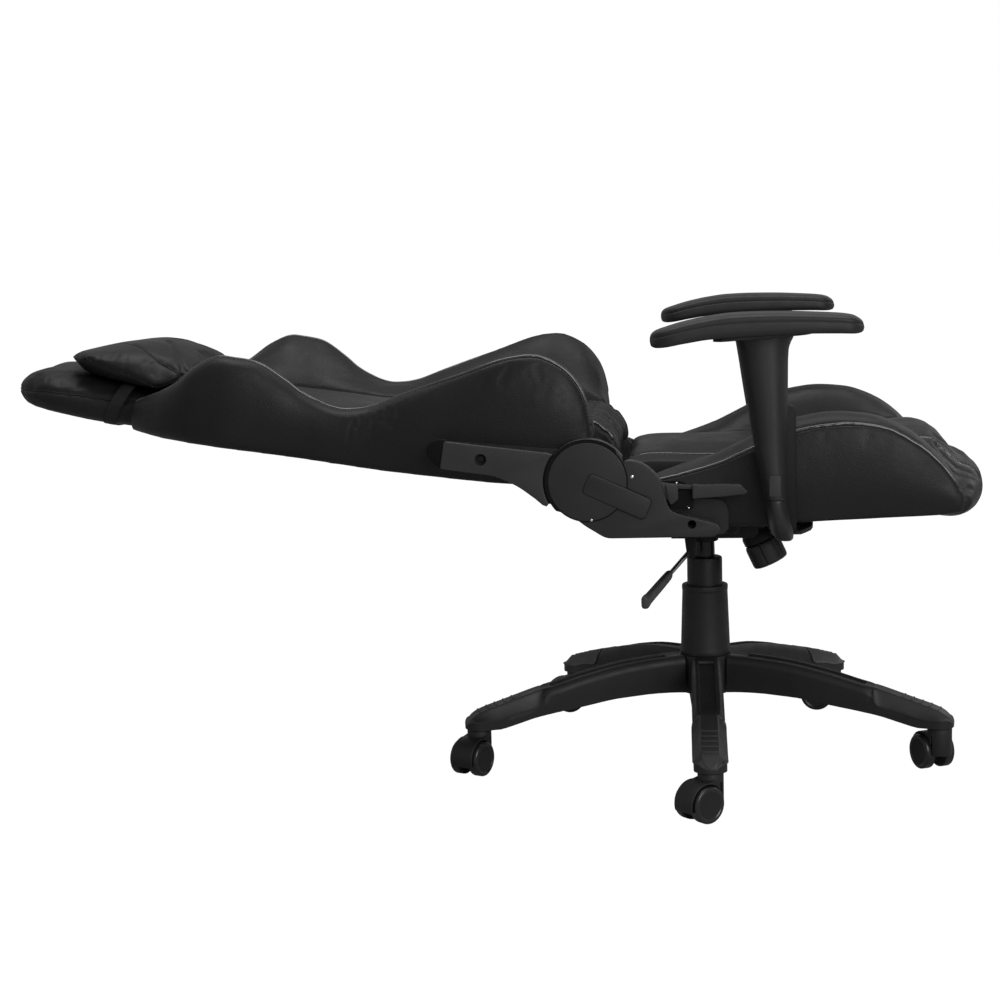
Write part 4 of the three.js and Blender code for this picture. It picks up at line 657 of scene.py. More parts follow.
# ---- Tilt mechanism ------------------------------------------------------------------------------
# A pressed-steel housing on the lift's taper, hinged to the seat plate on one pin. A fluted knob under
# its front sets the tilt spring, and a rod with a flat plastic grip works the lift's valve.
dark_steel = coated_steel("dark_steel", (0.0045, 0.0045, 0.0047), 0.5, 0.2)
bright_steel = coated_steel("bright_steel", (0.55, 0.55, 0.56), 0.2, 0.5, 1.0)


def coat(material, *names):
    """Gives steel pieces that keep their CAD shape their finish."""
    for name in names:
        skins = bpy.data.objects[name].data.materials
        skins.clear()
        skins.append(material)


coat(black_steel, "seat_plate")
coat(dark_steel, "tilt_pin")
coat(bright_steel, "gas_lever_rod")

KNOB = Matrix.Translation((91, 0, 266)) @ Matrix.Rotation(radians(-25), 4, "Y")
TRAY_LOW, TRAY_HALF, FLUTES = 307, 50, 7
tray_side = [(-45, 311), (-40, TRAY_LOW), (66, TRAY_LOW), (72, 313), (72, 333), (24, 333), (-45, 317)]
bm = bmesh.new()
plate(bm, tray_side, -TRAY_HALF, -TRAY_HALF + 3, 0.8, 2)
plate(bm, tray_side, TRAY_HALF - 3, TRAY_HALF, 0.8, 2)
for start, end in ((-44, -18), (18, 67)):
    plate(bm, [(start, TRAY_LOW), (end, TRAY_LOW), (end, TRAY_LOW + 3), (start, TRAY_LOW + 3)],
          -TRAY_HALF + 1, TRAY_HALF - 1, 0)
for near, far in ((-TRAY_HALF + 1, -18), (18, TRAY_HALF - 1)):
    plate(bm, [(-18, TRAY_LOW), (18, TRAY_LOW), (18, TRAY_LOW + 3), (-18, TRAY_LOW + 3)], near, far, 0)
plate(bm, [(69, 313), (72, 313), (72, 333), (69, 333)], -TRAY_HALF + 1, TRAY_HALF - 1, 0)
plate(bm, [(-45, 311), (-42, 309), (-42, 317), (-45, 317)], -TRAY_HALF + 1, TRAY_HALF - 1, 0)
turned(bm, [
    (14.6, 297), (18, 297), (19, 298), (19, 304), (25, 306), (25, 308), (19, 311), (19, 328), (14.6, 328),
    (14.6, 297),
], 48)
plate(bm, [(-24, 284), (-21, 279), (-14, 279), (-12, 284), (-11, 308), (-27, 308)], -34, -30, 1, 2)
cup = bmesh.new()
turned(cup, [(0, 33.6), (22.4, 33.6), (23.2, 34.4), (23.2, 43), (20, 50), (0, 50)], 48)
bmesh.ops.transform(cup, matrix=KNOB, verts=cup.verts)
joined(bm, cup)
housing = finished(bm, "tilt_tray", dark_steel, "mechanism", "tilt_housing", crease=30)
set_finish(housing, "black_steel")

bm = bmesh.new()
rings = []
for z, shrink in (
    (0.2, 5.2), (0.5, 3.2), (1.4, 1.3), (3, 0.4), (5, 0.1), (12, 0), (26, 0.1), (29.5, 0.6), (31.6, 1.6),
    (32.6, 3.2), (32.9, 5),
):
    ring = []
    for k in range(FLUTES * 10):
        a = tau * k / (FLUTES * 10)
        groove = max(0, cos(a * FLUTES)) ** 14
        r = 24.9 - shrink - 2.2 * groove * (1 if shrink < 2 else 0.5)
        ring.append((r * cos(a), r * sin(a), z))
    rings.append(ring)
draw_along(bm, rings)
turned(bm, [(0, 0), (14, 0), (15, 0.5), (15.4, 1.2), (15.4, 4), (0, 4)], 48)
turned(bm, [(0, 31), (4, 31), (4, 45), (0, 45)], 24)
knob = finished(bm, "tilt_knob", pad_plastic, "knob", "tension_knob", place=KNOB, crease=32)
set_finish(knob, "soft_plastic")

inner_end, outer_end = Vector((-20, -26, 286)), Vector((-75, -250, 256))
reach = (outer_end - inner_end).length
along = (outer_end - inner_end).normalized()
LEVER = Matrix.Translation(inner_end) @ along.to_track_quat("Z", "X").to_matrix().to_4x4()
bm = bmesh.new()
rings = []
for from_end, w, h in (
    (128, 3.6, 2.6), (127.4, 4.8, 3.4), (125, 5.4, 3.8), (118, 6.4, 4.0), (90, 7.1, 4.0), (40, 7.4, 4.0),
    (18, 7.6, 4.1), (12, 8.2, 4.7), (6, 8.4, 4.9), (2, 7.9, 4.6), (0.6, 6.6, 3.6), (0, 4.6, 2.2),
):
    ring = []
    for a in spread(0, tau, 32)[:-1]:
        x = w * abs(cos(a)) ** 0.5 * (1 if cos(a) > 0 else -1)
        y = h * abs(sin(a)) ** 0.6 * (1 if sin(a) > 0 else -1)
        ring.append((x, y, reach - from_end))
    rings.append(ring)
draw_along(bm, rings)
grip_plastic = moulded_plastic(
    "grip_plastic", (0.034, 0.034, 0.035), (0.050, 0.050, 0.051), 0.45, 1300, 0.00006, specular=0.35)
grip = finished(bm, "lift_grip", grip_plastic, "gas_lever", "gas_lever_grip", place=LEVER, crease=40)
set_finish(grip, "soft_plastic")


# ---- Seat cushion --------------------------------------------------------------------------------
# A moulded foam cushion on the seat frame, covered in imitation leather. Its centre panel is sewn in
# along both sides, and the cover is gathered into short pleats where it rolls over the front edge.
def leather_cover(name, dark, light, roughness):
    """Polyurethane leather: fine pebbled grain, soft creases, a satin top coat worn glossy in places, and a
    painted highlight on sharp edges.
    """
    made, tree, skin, spot = start_material(name, dark, roughness, 0.2)
    tone_and_edge_highlight(tree, remap(tree, speckle(tree, spot, 9, 5, 0.55), 0.3, 0.7, 0, 0.5), 0.4, dark, light, skin)
    tree.links.new(
        remap(tree, speckle(tree, spot, 24, 4, 0.6), 0.3, 0.72, roughness - 0.07, roughness + 0.09),
        skin.inputs["Roughness"])
    pebble = tree.nodes.new("ShaderNodeTexVoronoi")
    pebble.feature = "SMOOTH_F1"
    pebble.inputs["Scale"].default_value = 620
    pebble.inputs["Smoothness"].default_value = 0.4
    pebble.inputs["Randomness"].default_value = 0.9
    tree.links.new(spot, pebble.inputs["Vector"])
    low = raised(tree, speckle(tree, spot, 38, 5, 0.62), 0.0012, 0.35)
    mid = raised(tree, speckle(tree, spot, 170, 4, 0.6), 0.0002, 0.5, low)
    fine = raised(tree, remap(tree, pebble.outputs["Distance"], 0.1, 0.7, 1, 0), 0.00016, 0.6, mid)
    tree.links.new(fine, skin.inputs["Normal"])
    return made


leather = leather_cover("black_leather", (0.0085, 0.0085, 0.0088), (0.0150, 0.0150, 0.0152), 0.47)
cord_leather, tree, skin, spot = start_material("cord_leather", (0.020, 0.020, 0.0204), 0.16, 0.9)
tree.links.new(remap(tree, speckle(tree, spot, 60, 3), 0.3, 0.7, 0.12, 0.24), skin.inputs["Roughness"])
tint(tree, remap(tree, speckle(tree, spot, 14, 3), 0.35, 0.65, 0, 1), (0.016, 0.016, 0.0163),
     (0.026, 0.026, 0.0265), skin)
thread, tree, skin, spot = start_material("grey_thread", (0.09, 0.09, 0.09), 0.7, 0.2)
tint(tree, remap(tree, speckle(tree, spot, 900, 2), 0.35, 0.65, 0, 1), (0.06, 0.06, 0.06),
     (0.13, 0.13, 0.13), skin)
twist = tree.nodes.new("ShaderNodeTexWave")
twist.inputs["Scale"].default_value = 900
twist.bands_direction = "DIAGONAL"
tree.links.new(spot, twist.inputs["Vector"])
tree.links.new(raised(tree, twist.outputs["Fac"], 0.0001), skin.inputs["Normal"])


def through(points, count):
    """Evenly numbered points on a smooth line through a few."""
    line = smooth_line([(k, *p) for k, p in enumerate(points)])
    return [Vector(line(k)) for k in spread(0, len(points) - 1, count)]


def rounded(points, count):
    """A closed section drawn smoothly through its corners."""
    whole, made = len(points), []
    for k in range(count):
        t = k * whole / count
        i, f = int(t), t - int(t)
        a, b, c, d = (Vector(points[(i + n) % whole]) for n in (-1, 0, 1, 2))
        made.append(0.5 * (2 * b + (c - a) * f + (2 * a - 5 * b + 4 * c - d) * f * f
                           + (3 * b - a - 3 * c + d) * f**3))
    return made


SWELL_PRESSURE, SWELL_STEPS = 4.0, 20


def as_made(source):
    """The mesh an object comes out with after its modifiers."""
    graph = bpy.context.evaluated_depsgraph_get()
    return bpy.data.meshes.new_from_object(source.evaluated_get(graph))


def stuffed(bm, name, body, *nodes, held, place=AS_DRAWN, voxel=5.0, most=5.0, fill=0.6):
    """Foam in a leather cover: the form is remeshed, swollen as cloth between its held seams and
    smoothed. held(point) is 1 where the cover is stapled or sewn down, in the piece's own sizes."""
    whole = ON_COLUMN @ place
    bmesh.ops.remove_doubles(bm, verts=bm.verts, dist=SEAM_GAP)
    bmesh.ops.recalc_face_normals(bm, faces=bm.faces)
    bmesh.ops.transform(bm, matrix=whole, verts=bm.verts)
    drawn = bpy.data.meshes.new(name + "_drawn")
    bm.to_mesh(drawn)
    bm.free()
    form = bpy.data.objects.new(name + "_drawn", drawn)
    scene.collection.objects.link(form)
    fine = form.modifiers.new("even", "REMESH")
    fine.mode, fine.voxel_size = "VOXEL", voxel / 1000
    made = bpy.data.objects.new(name, as_made(form))
    scene.collection.objects.link(made)
    bpy.data.objects.remove(form)
    bpy.data.meshes.remove(drawn)
    for polygon in made.data.polygons:
        polygon.use_smooth = True
    back = whole.inverted()
    sewn = made.vertex_groups.new(name="sewn")
    for v in made.data.vertices:
        weight = held(back @ v.co)
        if weight > 0:
            sewn.add([v.index], min(weight, 1), "REPLACE")
    cloth = made.modifiers.new("swell", "CLOTH")
    cloth.settings.use_pressure = True
    cloth.settings.uniform_pressure_force = SWELL_PRESSURE
    cloth.settings.effector_weights.gravity = 0
    cloth.settings.quality = 4
    cloth.settings.vertex_group_mass = "sewn"
    cloth.point_cache.frame_start, cloth.point_cache.frame_end = 1, SWELL_STEPS
    for step in range(1, SWELL_STEPS + 1):
        scene.frame_set(step)
    swollen = as_made(made)
    for v, after in zip(made.data.vertices, swollen.vertices):
        move = after.co - v.co
        if move.length > most / 1000:
            move *= most / 1000 / move.length
        v.co += move
    bpy.data.meshes.remove(swollen)
    made.modifiers.remove(cloth)
    scene.frame_set(1)
    finer = made.modifiers.new("finer", "SUBSURF")
    finer.levels = finer.render_levels = 1
    coarse = made.data
    made.data = as_made(made)
    made.modifiers.clear()
    made.vertex_groups.clear()
    bpy.data.meshes.remove(coarse)
    made.data.materials.clear()
    made.data.materials.append(leather)
    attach(made, body)
    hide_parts(*nodes)
    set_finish(made, "padded_leather")
    return made


def skin_of(made):
    mesh = made.data
    return BVHTree.FromPolygons([v.co[:] for v in mesh.vertices], [p.vertices[:] for p in mesh.polygons])


def finder_of(points):
    """Finds the nearest of many points."""
    finder = KDTree(len(points))
    for k, p in enumerate(points):
        finder.insert(p, k)
    finder.balance()
    return finder


def pressed(made, lines, depth, width, place=AS_DRAWN):
    """Seams and folds pulled into a cover: a groove under each line, in the piece's own sizes."""
    whole = ON_COLUMN @ place
    mesh = made.data
    surface = skin_of(made)
    finder = finder_of([surface.find_nearest(whole @ p)[0] for line in lines for p in line])
    sink = []
    for v in mesh.vertices:
        away = finder.find(v.co)[2] / (width / 1000)
        sink.append(v.normal * (-depth / 1000 * 2.718 ** (-away * away)) if away < 2.5 else None)
    for v, move in zip(mesh.vertices, sink):
        if move:
            v.co += move


def eased(row):
    """Each vector of a row averaged with its neighbours; the ends stay."""
    middle = [(a + 2 * b + c) / 4 for a, b, c in zip(row, row[1:], row[2:])]
    return [row[0]] + middle + [row[-1]]


def heading(points, k):
    """The way a line runs at one of its points."""
    return (points[min(k + 1, len(points) - 1)] - points[max(k - 1, 0)]).normalized()


def laid_on(surface, line, place=AS_DRAWN, aside=0.0, *, lift):
    """A line pressed on to a cover's surface: its points and the way the surface faces there."""
    whole = ON_COLUMN @ place
    found = [surface.find_nearest(whole @ p) for p in line]
    points, facing = [f[0] for f in found], [f[1] for f in found]
    if aside:
        moved = []
        for k, (p, n) in enumerate(zip(points, facing)):
            ahead = heading(points, k)
            moved.append(surface.find_nearest(p + n.cross(ahead) * aside / 1000))
        points, facing = [f[0] for f in moved], [f[1] for f in moved]
    # A sewn line runs evenly over small wrinkles.
    for _ in range(3):
        points = eased(points)
        facing = [n.normalized() for n in eased(facing)]
    return [p + n * lift / 1000 for p, n in zip(points, facing)], facing


def even_steps(points, facing, pitch):
    """Places every pitch along a line, each with its direction and facing."""
    made, left = [], 0.0
    for a, b, n in zip(points, points[1:], facing):
        span = (b - a).length
        while left < span:
            made.append((a.lerp(b, left / span), (b - a) / span, n))
            left += pitch
        left -= span
    return made


def own_piece(bm, name, material, body):
    """A sewn detail that belongs to a cover and moves with it."""
    bmesh.ops.recalc_face_normals(bm, faces=bm.faces)
    for face in bm.faces:
        face.smooth = True
    made = as_piece(bm, name, body, material)
    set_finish(made, "padded_leather")
    return made


STITCH_PITCH, STITCH_LONG, STITCH_THICK, CORD_SIDES = 4.6, 3.3, 0.75, 8


def stitches(name, body, rows):
    """Short raised stitches of thread along each row of points."""
    one = bmesh.new()
    bmesh.ops.create_uvsphere(one, u_segments=6, v_segments=4, radius=0.5)
    bmesh.ops.rotate(one, cent=(0, 0, 0), matrix=Matrix.Rotation(pi / 2, 3, "Y"), verts=one.verts)
    size = (STITCH_LONG / 1000, STITCH_THICK / 1000, STITCH_THICK / 1000)
    bmesh.ops.scale(one, vec=size, verts=one.verts)
    stitch = bpy.data.meshes.new("stitch")
    one.to_mesh(stitch)
    one.free()
    bm = bmesh.new()
    for points, facing in rows:
        for spot, ahead, up in even_steps(points, facing, STITCH_PITCH / 1000):
            across = up.cross(ahead).normalized()
            turn = Matrix((ahead, across, ahead.cross(across))).transposed().to_4x4()
            start = len(bm.verts)
            bm.from_mesh(stitch)
            bm.verts.ensure_lookup_table()
            bmesh.ops.transform(bm, matrix=Matrix.Translation(spot) @ turn, verts=bm.verts[start:])
    bpy.data.meshes.remove(stitch)
    return own_piece(bm, name, thread, body)


def piping(name, body, rows, radius, cover=cord_leather):
    """A leather-covered cord sewn into each seam."""
    bm = bmesh.new()
    for points, facing in rows:
        rings = []
        for k, (p, n) in enumerate(zip(points, facing)):
            ahead = heading(points, k)
            across = n.cross(ahead).normalized()
            up = ahead.cross(across)
            slim = min(1, 0.25 + min(k, len(points) - 1 - k) * 0.35)
            ring = []
            for s in range(CORD_SIDES):
                a = tau * s / CORD_SIDES
                ring.append(p + (across * cos(a) + up * sin(a)) * radius * slim / 1000)
            rings.append(ring)
        draw_along(bm, rings)
    return own_piece(bm, name, cover, body)


def left_copy(made, *nodes, padded=0):
    """The left-hand twin of a right-hand piece."""
    bm = bmesh.new()
    bm.from_mesh(made.data)
    bmesh.ops.translate(bm, vec=-column, verts=bm.verts)
    bmesh.ops.scale(bm, vec=(1, -1, 1), verts=bm.verts)
    bmesh.ops.translate(bm, vec=column, verts=bm.verts)
    bmesh.ops.reverse_faces(bm, faces=bm.faces)
    body = body_of(made)[0].replace("_right", "_left")
    twin = as_piece(bm, made.name.replace("right", "left"), body, *made.data.materials)
    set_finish(twin, made["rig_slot"] if "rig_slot" in made else "nylon")
    if nodes:
        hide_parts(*nodes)
    return twin


SEAT_FRONT, ROLL_HALF, ROLL_BACK = 368, 236, 284
cushion_top = smooth_line([
    (-104, 423), (-98, 430), (-86, 433), (-55, 434), (0, 433), (80, 435), (160, 441), (240, 448), (282, 453),
    (297, 450), (312, 443),
])


def seat_low(x):
    """The underside rises a little towards the front."""
    return 347 + max(0, x - 100) * 0.06


bm = bmesh.new()
rings = []
for x in [-102, -100, -96, -90] + spread(-80, 300, 38):
    top = cushion_top(x)
    low = seat_low(x)
    rings.append(rounded([(x, y, z) for y, z in (
        (-146, low), (0, low), (146, low), (148, low + 30), (148, top - 14), (138, top - 5),
        (118, top - 3), (60, top + 1), (0, top + 2), (-60, top + 1), (-118, top - 3), (-138, top - 5),
        (-148, top - 14), (-148, low + 30),
    )], 56))
draw_along(bm, rings)
rings = []
for y in spread(-234, 234, 52):
    t = abs(y) / ROLL_HALF
    front = SEAT_FRONT - 2 - 36 * t * t
    top = 437 - 44 * t**4
    low = 331 + 32 * t**1.1
    high = top - low
    rings.append(rounded([(ROLL_BACK + (front - ROLL_BACK) * a, y, low + high * h) for a, h in (
        (0, 0.16), (0.3, 0.01), (0.62, 0), (0.86, 0.09), (0.985, 0.30), (1, 0.45), (0.965, 0.6), (0.90, 0.69),
        (0.78, 0.71), (0.64, 0.73), (0.5, 0.83), (0.38, 0.96), (0.26, 1.08 - 0.04 * t),
        (0.12, 1.12 - 0.06 * t), (0, 1.12 - 0.07 * t),
    )], 60))
draw_along(bm, rings)


def under_seat(p):
    """The underside is stapled to the frame and the sides are glued to the bolsters."""
    if p.z < seat_low(p.x) + 5 and p.x < 300:
        return 1
    return 0.9 if abs(p.y) > 145 and p.x < 296 else 0


cushion = stuffed(bm, "seat_cover", "seat", "seat_cushion", voxel=5.5, most=5, held=under_seat)
panel_seams = [through([(-96, s * 118, 434), (0, s * 119, 434), (120, s * 120, 440), (240, s * 121, 450),
                        (296, s * 122, 450), (312, s * 122, 436), (328, s * 123, 418), (344, s * 124, 410),
                        (357, s * 125, 400)], 90)
               for s in (-1, 1)]
pressed(cushion, panel_seams, 2.6, 4.2)
pleats = []
for k, y in enumerate([-206, -178, -150, -102, -78, -54, -30, -6, 18, 42, 66, 90, 106, 150, 178, 206]):
    t = abs(y) / ROLL_HALF
    front = SEAT_FRONT - 2 - 34 * t * t
    lean = 7 * sin(k * 2.1)
    start = 296 + 12 * (k % 3) - 10 * (abs(y) > 130)
    run = front - start
    pleats.append(through([
        (start, y - lean, 452 - 40 * t**4), (start + run * 0.3, y, 431 - 38 * t**4),
        (start + run * 0.6, y, 414 - 30 * t**4), (start + run * 0.84, y + lean * 0.4, 408 - 22 * t**4)], 30))
pressed(cushion, pleats[::2], 3.6, 6.5)
pressed(cushion, pleats[1::2], 2.4, 5.0)
surface = skin_of(cushion)
seams = [laid_on(surface, line, lift=0.2) for line in panel_seams]
piping("seat_piping", "seat", seams, 1.7)
stitches("seat_stitches", "seat", [
    laid_on(surface, line, aside=offset, lift=0.15) for line in panel_seams for offset in (-4.5, 4.5)])


# The steel frame is moulded into the foam, and black cloth stapled under it keeps the dust out.
dust_cloth, tree, skin, spot = start_material("dust_cloth", (0.0035, 0.0035, 0.0036), 0.9, 0.06)
tint(tree, remap(tree, speckle(tree, spot, 1500, 2), 0.3, 0.7, 0, 1), (0.0028, 0.0028, 0.0029),
     (0.0060, 0.0060, 0.0062), skin)
bm = bmesh.new()
rings = []
for x in [-99, -98.5] + spread(-90, 290, 20) + [298.5, 299]:
    low = seat_low(x) - 2.2
    edge = 149.5 if -98.7 < x < 298.7 else 149
    rings.append([(x, -edge, low + 0.4), (x, -edge + 1, low), (x, edge - 1, low), (x, edge, low + 0.4),
                  (x, edge, low + 1.9), (x, -edge, low + 1.9)])
draw_along(bm, rings)
cloth_cover = finished(bm, "dust_cover", dust_cloth, "seat", "seat_frame", crease=50)
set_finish(cloth_cover, "padded_leather")


# ---- Seat bolsters -------------------------------------------------------------------------------
# The raised foam sides of the seat. Each has a flat outer panel, joined to its rounded top along a
# corded seam, and the inner seam on its crest is topstitched in grey.
bolster_top = smooth_line([
    (-75, 405), (-50, 414), (-20, 424), (16, 437), (53, 455), (90, 473), (125, 484), (165, 489), (205, 486),
    (231, 478), (250, 469), (269, 456), (288, 438), (306, 416), (322, 388),
])
bolster_foot = smooth_line([
    (-75, 353), (0, 352), (85, 352), (131, 356.5), (220, 360.5), (290, 363.5), (322, 367),
])
bolster_edge = smooth_line([
    (-75, 410), (-50, 416), (-20, 423), (16, 433), (53, 449), (90, 465), (125, 475), (150, 479), (180, 481),
    (205, 479), (231, 473), (250, 463), (269, 451), (288, 435), (306, 414), (322, 388),
])
bm = bmesh.new()
rings = []
for x in [-73, -71, -67, -61] + spread(-54, 306, 40) + [311, 315, 318, 320]:
    top, edge, foot = bolster_top(x) + 1, bolster_edge(x) - 1, bolster_foot(x)
    sit = min(cushion_top(x), top - 3)
    rise = max(5, top - sit)
    low = max(351, foot - 5)
    rings.append(rounded([(x, -y, z) for y, z in (
        (154, low), (151.5, low + 10), (151.5, sit - 12), (156, sit - 2), (166, sit + rise * 0.42),
        (180, top - rise * 0.16), (194, top), (212, top + 1.5), (232, top - 0.5), (245, edge),
        (250.5, edge - 5), (253.5, edge - 18), (254.5, (edge + foot) / 2), (254, foot + 16), (251, foot + 3),
        (242, foot), (205, (foot + low) / 2), (170, low),
    )], 72))
draw_along(bm, rings)
outer_edge = through([(x, -247.5, bolster_edge(x) + 0.5) for x in spread(-70, 316, 24)], 200)
edge_finder = finder_of(outer_edge)


def bolster_held(p):
    if p.z < bolster_foot(p.x) + 2 or p.y > -155:
        return 1
    return max(0, 1 - edge_finder.find(p)[2] / 9)


bolster = stuffed(bm, "bolster_right", "seat", "seat_bolster_right", voxel=5, most=4, held=bolster_held)
pressed(bolster, [outer_edge], 1.6, 3.6)
inner_seam = through([(x, -200, bolster_top(x) + 3) for x in spread(-60, 312, 24)], 200)
pressed(bolster, [inner_seam], 1.3, 3.2)
surface = skin_of(bolster)
details = [
    piping("bolster_piping_right", "seat", [laid_on(surface, outer_edge, lift=0.5)], 2.3),
    stitches("bolster_stitches_right", "seat", [
        laid_on(surface, inner_seam, aside=offset, lift=0.15) for offset in (3.2, -3.2)]),
]
left_copy(bolster, "seat_bolster_left", padded=0.6)
for detail in details:
    left_copy(detail)


# ---- Recliners -----------------------------------------------------------------------------------
# A steel plate each side of the seat carries the back: on the right by a geared recliner on a cross
# shaft, under a moulded nylon cover with a raised round boss and bar, on the left by a plain pivot.
coat(bright_steel, "recliner_right", "recline_shaft")
coat(black_steel, "hinge_plate_right", "back_arm_right", "back_frame")
cover_plastic = moulded_plastic(
    "hinge_cover", (0.0120, 0.0120, 0.0124), (0.021, 0.021, 0.0215), 0.44, 1300, 0.00006, specular=0.34)

HINGE_X, HINGE_Z, COVER_FACE = -142, 415, -287.8
BOLT_HOLE_X, BOLT_HOLE_Z = -14, 361
BAR_X, BAR_Z, BAR_TURN = -105.5, 397, radians(-24.6)
PIVOT = (HINGE_X, HINGE_Z)


def soft_corners(points, radius, steps):
    """An outline in x and z with each corner turned on a small radius."""
    made = []
    for k, p in enumerate(points):
        a, b, c = Vector(points[k - 1]), Vector(p), Vector(points[(k + 1) % len(points)])
        cut = min(radius, (a - b).length * 0.45, (c - b).length * 0.45)
        start, end = b + (a - b).normalized() * cut, b + (c - b).normalized() * cut
        for t in spread(0, 1, steps):
            made.append(tuple(start.lerp(b, t).lerp(b.lerp(end, t), t)))
    return made


cover_edge = soft_corners([
    (-165, 375), (-146, 360), (-120, 344), (14, 345), (22, 353), (18, 361), (-30, 374), (-41, 379),
    (-47, 397), (-53, 419), (-63, 429.5), (-74, 437.5), (-93, 442.5),
], 7, 4)
bm = bmesh.new()
# The skirt is the flat of the cover; the round boss and its bar stand on it.
skirt_outline = bow(PIVOT, 53.4, 36, 216, 40) + cover_edge
plate(bm, skirt_outline, -268.6, COVER_FACE + 3.4, 1.4, 4)
cover = finished(bm, "hinge_cover_right", cover_plastic, "seat", "recliner_cover_right", crease=30)
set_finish(cover, "nylon")


def key_bar(half_long, half_high, radius):
    """The raised bar across the boss, a little larger for the shadow gap round it."""
    corners = soft_corners([
        (-half_long, -half_high), (half_long, -half_high), (half_long, half_high), (-half_long, half_high),
    ], radius, 3)
    return [(BAR_X + x * cos(BAR_TURN) - z * sin(BAR_TURN), BAR_Z + x * sin(BAR_TURN) + z * cos(BAR_TURN))
            for x, z in corners]


bm = bmesh.new()
plate(bm, bow(PIVOT, 48.6, 0, 355, 71), COVER_FACE + 4, COVER_FACE + 0.9, 1.0, 4)
plate(bm, key_bar(42, 13.5, 6), COVER_FACE + 4, COVER_FACE, 0.9, 3)
boss = finished(bm, "hinge_boss_right", cover_plastic, "seat", crease=30)
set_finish(boss, "nylon")

# Near-black plates behind the disc and the bar are painted shade in the joints round them, and two bright
# screws hold the cover on.
painted_shade_black = moulded_plastic(
    "painted_shade_black", (0.0030, 0.0030, 0.0031), (0.0050, 0.0050, 0.0051), 0.6, 900, 0.00004, specular=0.1)
bm = bmesh.new()
ring = bow(PIVOT, 53, 48, 222, 40) + bow(PIVOT, 50, 228, 402, 40)
plate(bm, ring, COVER_FACE + 5, COVER_FACE + 2.05, 0)
plate(bm, key_bar(42.6, 14.1, 6.3), COVER_FACE + 5, COVER_FACE + 0.75, 0)
gap_shade = finished(bm, "cover_gaps_right", painted_shade_black, "seat", crease=30)
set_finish(gap_shade, "nylon")
bm = bmesh.new()
for x, z in ((-137.5, 368), (-86.7, 421.1)):
    screw = bmesh.new()
    turned(screw, [(0, 0), (1.0, 0.2), (1.8, 0.5), (2.2, 1.1), (2.3, 3.0), (0, 3.0)], 24)
    bmesh.ops.rotate(screw, cent=(0, 0, 0), matrix=Matrix.Rotation(-pi / 2, 3, "X"), verts=screw.verts)
    bmesh.ops.translate(screw, vec=(x, COVER_FACE + 0.6, z), verts=screw.verts)
    joined(bm, screw)
screws = finished(bm, "cover_screws_right", bright_steel, "seat", crease=30)
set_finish(screws, "bright_steel")


def bored(made, radius, depth, place):
    """A round hole through a moulding, across the chair."""
    cutter = bmesh.new()
    bmesh.ops.create_cone(cutter, cap_ends=True, segments=40, radius1=radius, radius2=radius, depth=depth)
    bmesh.ops.rotate(cutter, cent=(0, 0, 0), matrix=Matrix.Rotation(pi / 2, 3, "X"), verts=cutter.verts)
    bmesh.ops.transform(cutter, matrix=place, verts=cutter.verts)
    bmesh.ops.recalc_face_normals(cutter, faces=cutter.faces)
    bmesh.ops.transform(cutter, matrix=ON_COLUMN, verts=cutter.verts)
    mesh = bpy.data.meshes.new("cutter")
    cutter.to_mesh(mesh)
    cutter.free()
    tool = bpy.data.objects.new("cutter", mesh)
    scene.collection.objects.link(tool)
    cut = made.modifiers.new("cut", "BOOLEAN")
    cut.operation, cut.solver, cut.object = "DIFFERENCE", "EXACT", tool
    whole = as_made(made)
    made.modifiers.clear()
    bpy.data.objects.remove(tool)
    bpy.data.meshes.remove(mesh)
    old, made.data = made.data, whole
    bpy.data.meshes.remove(old)


bored(cover, 5.4, 60, Matrix.Translation((BOLT_HOLE_X, -280, BOLT_HOLE_Z)))

# The left side turns on a plain pivot under a low cover, which doesn't reach above the seat.
LOW = Matrix.Scale(-1, 4, (0, 1, 0))
PIVOT_RADIUS = 25
bm = bmesh.new()
plate(bm, bow(PIVOT, PIVOT_RADIUS, 70, 225, 24) + soft_corners([
    (-118, 348), (24, 345), (31, 352), (31, 372), (20, 387), (-24, 389), (-60, 396), (-100, 402),
], 5, 3), -257.2, -262.2, 0.6, 2)
low_plate = finished(bm, "hinge_plate_low", black_steel, "seat", "hinge_plate_left", place=LOW, crease=30)
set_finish(low_plate, "black_steel")
bm = bmesh.new()
plate(bm, bow(PIVOT, PIVOT_RADIUS - 2, 0, 350, 36), -262.5, -271.4, 0.8, 2)
low_pivot = finished(bm, "pivot_low", bright_steel, "seat", "recliner_left", place=LOW, crease=30)
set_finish(low_pivot, "bright_steel")
bm = bmesh.new()
plate(bm, bow(PIVOT, PIVOT_RADIUS + 2, 40, 225, 30) + soft_corners([
    (-146, 360), (-120, 344), (14, 345), (22, 353), (18, 361), (-30, 374), (-45, 388), (-62, 400),
    (-100, 405), (-116, 412),
], 6, 4), -277.4, COVER_FACE + 3.4, 1.4, 4)
plate(bm, bow(PIVOT, PIVOT_RADIUS - 1, 0, 355, 60), COVER_FACE + 4, COVER_FACE + 1, 1.0, 4)
low_cover = finished(
    bm, "hinge_cover_low", cover_plastic, "seat", "recliner_cover_left", place=LOW, crease=30)
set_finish(low_cover, "nylon")
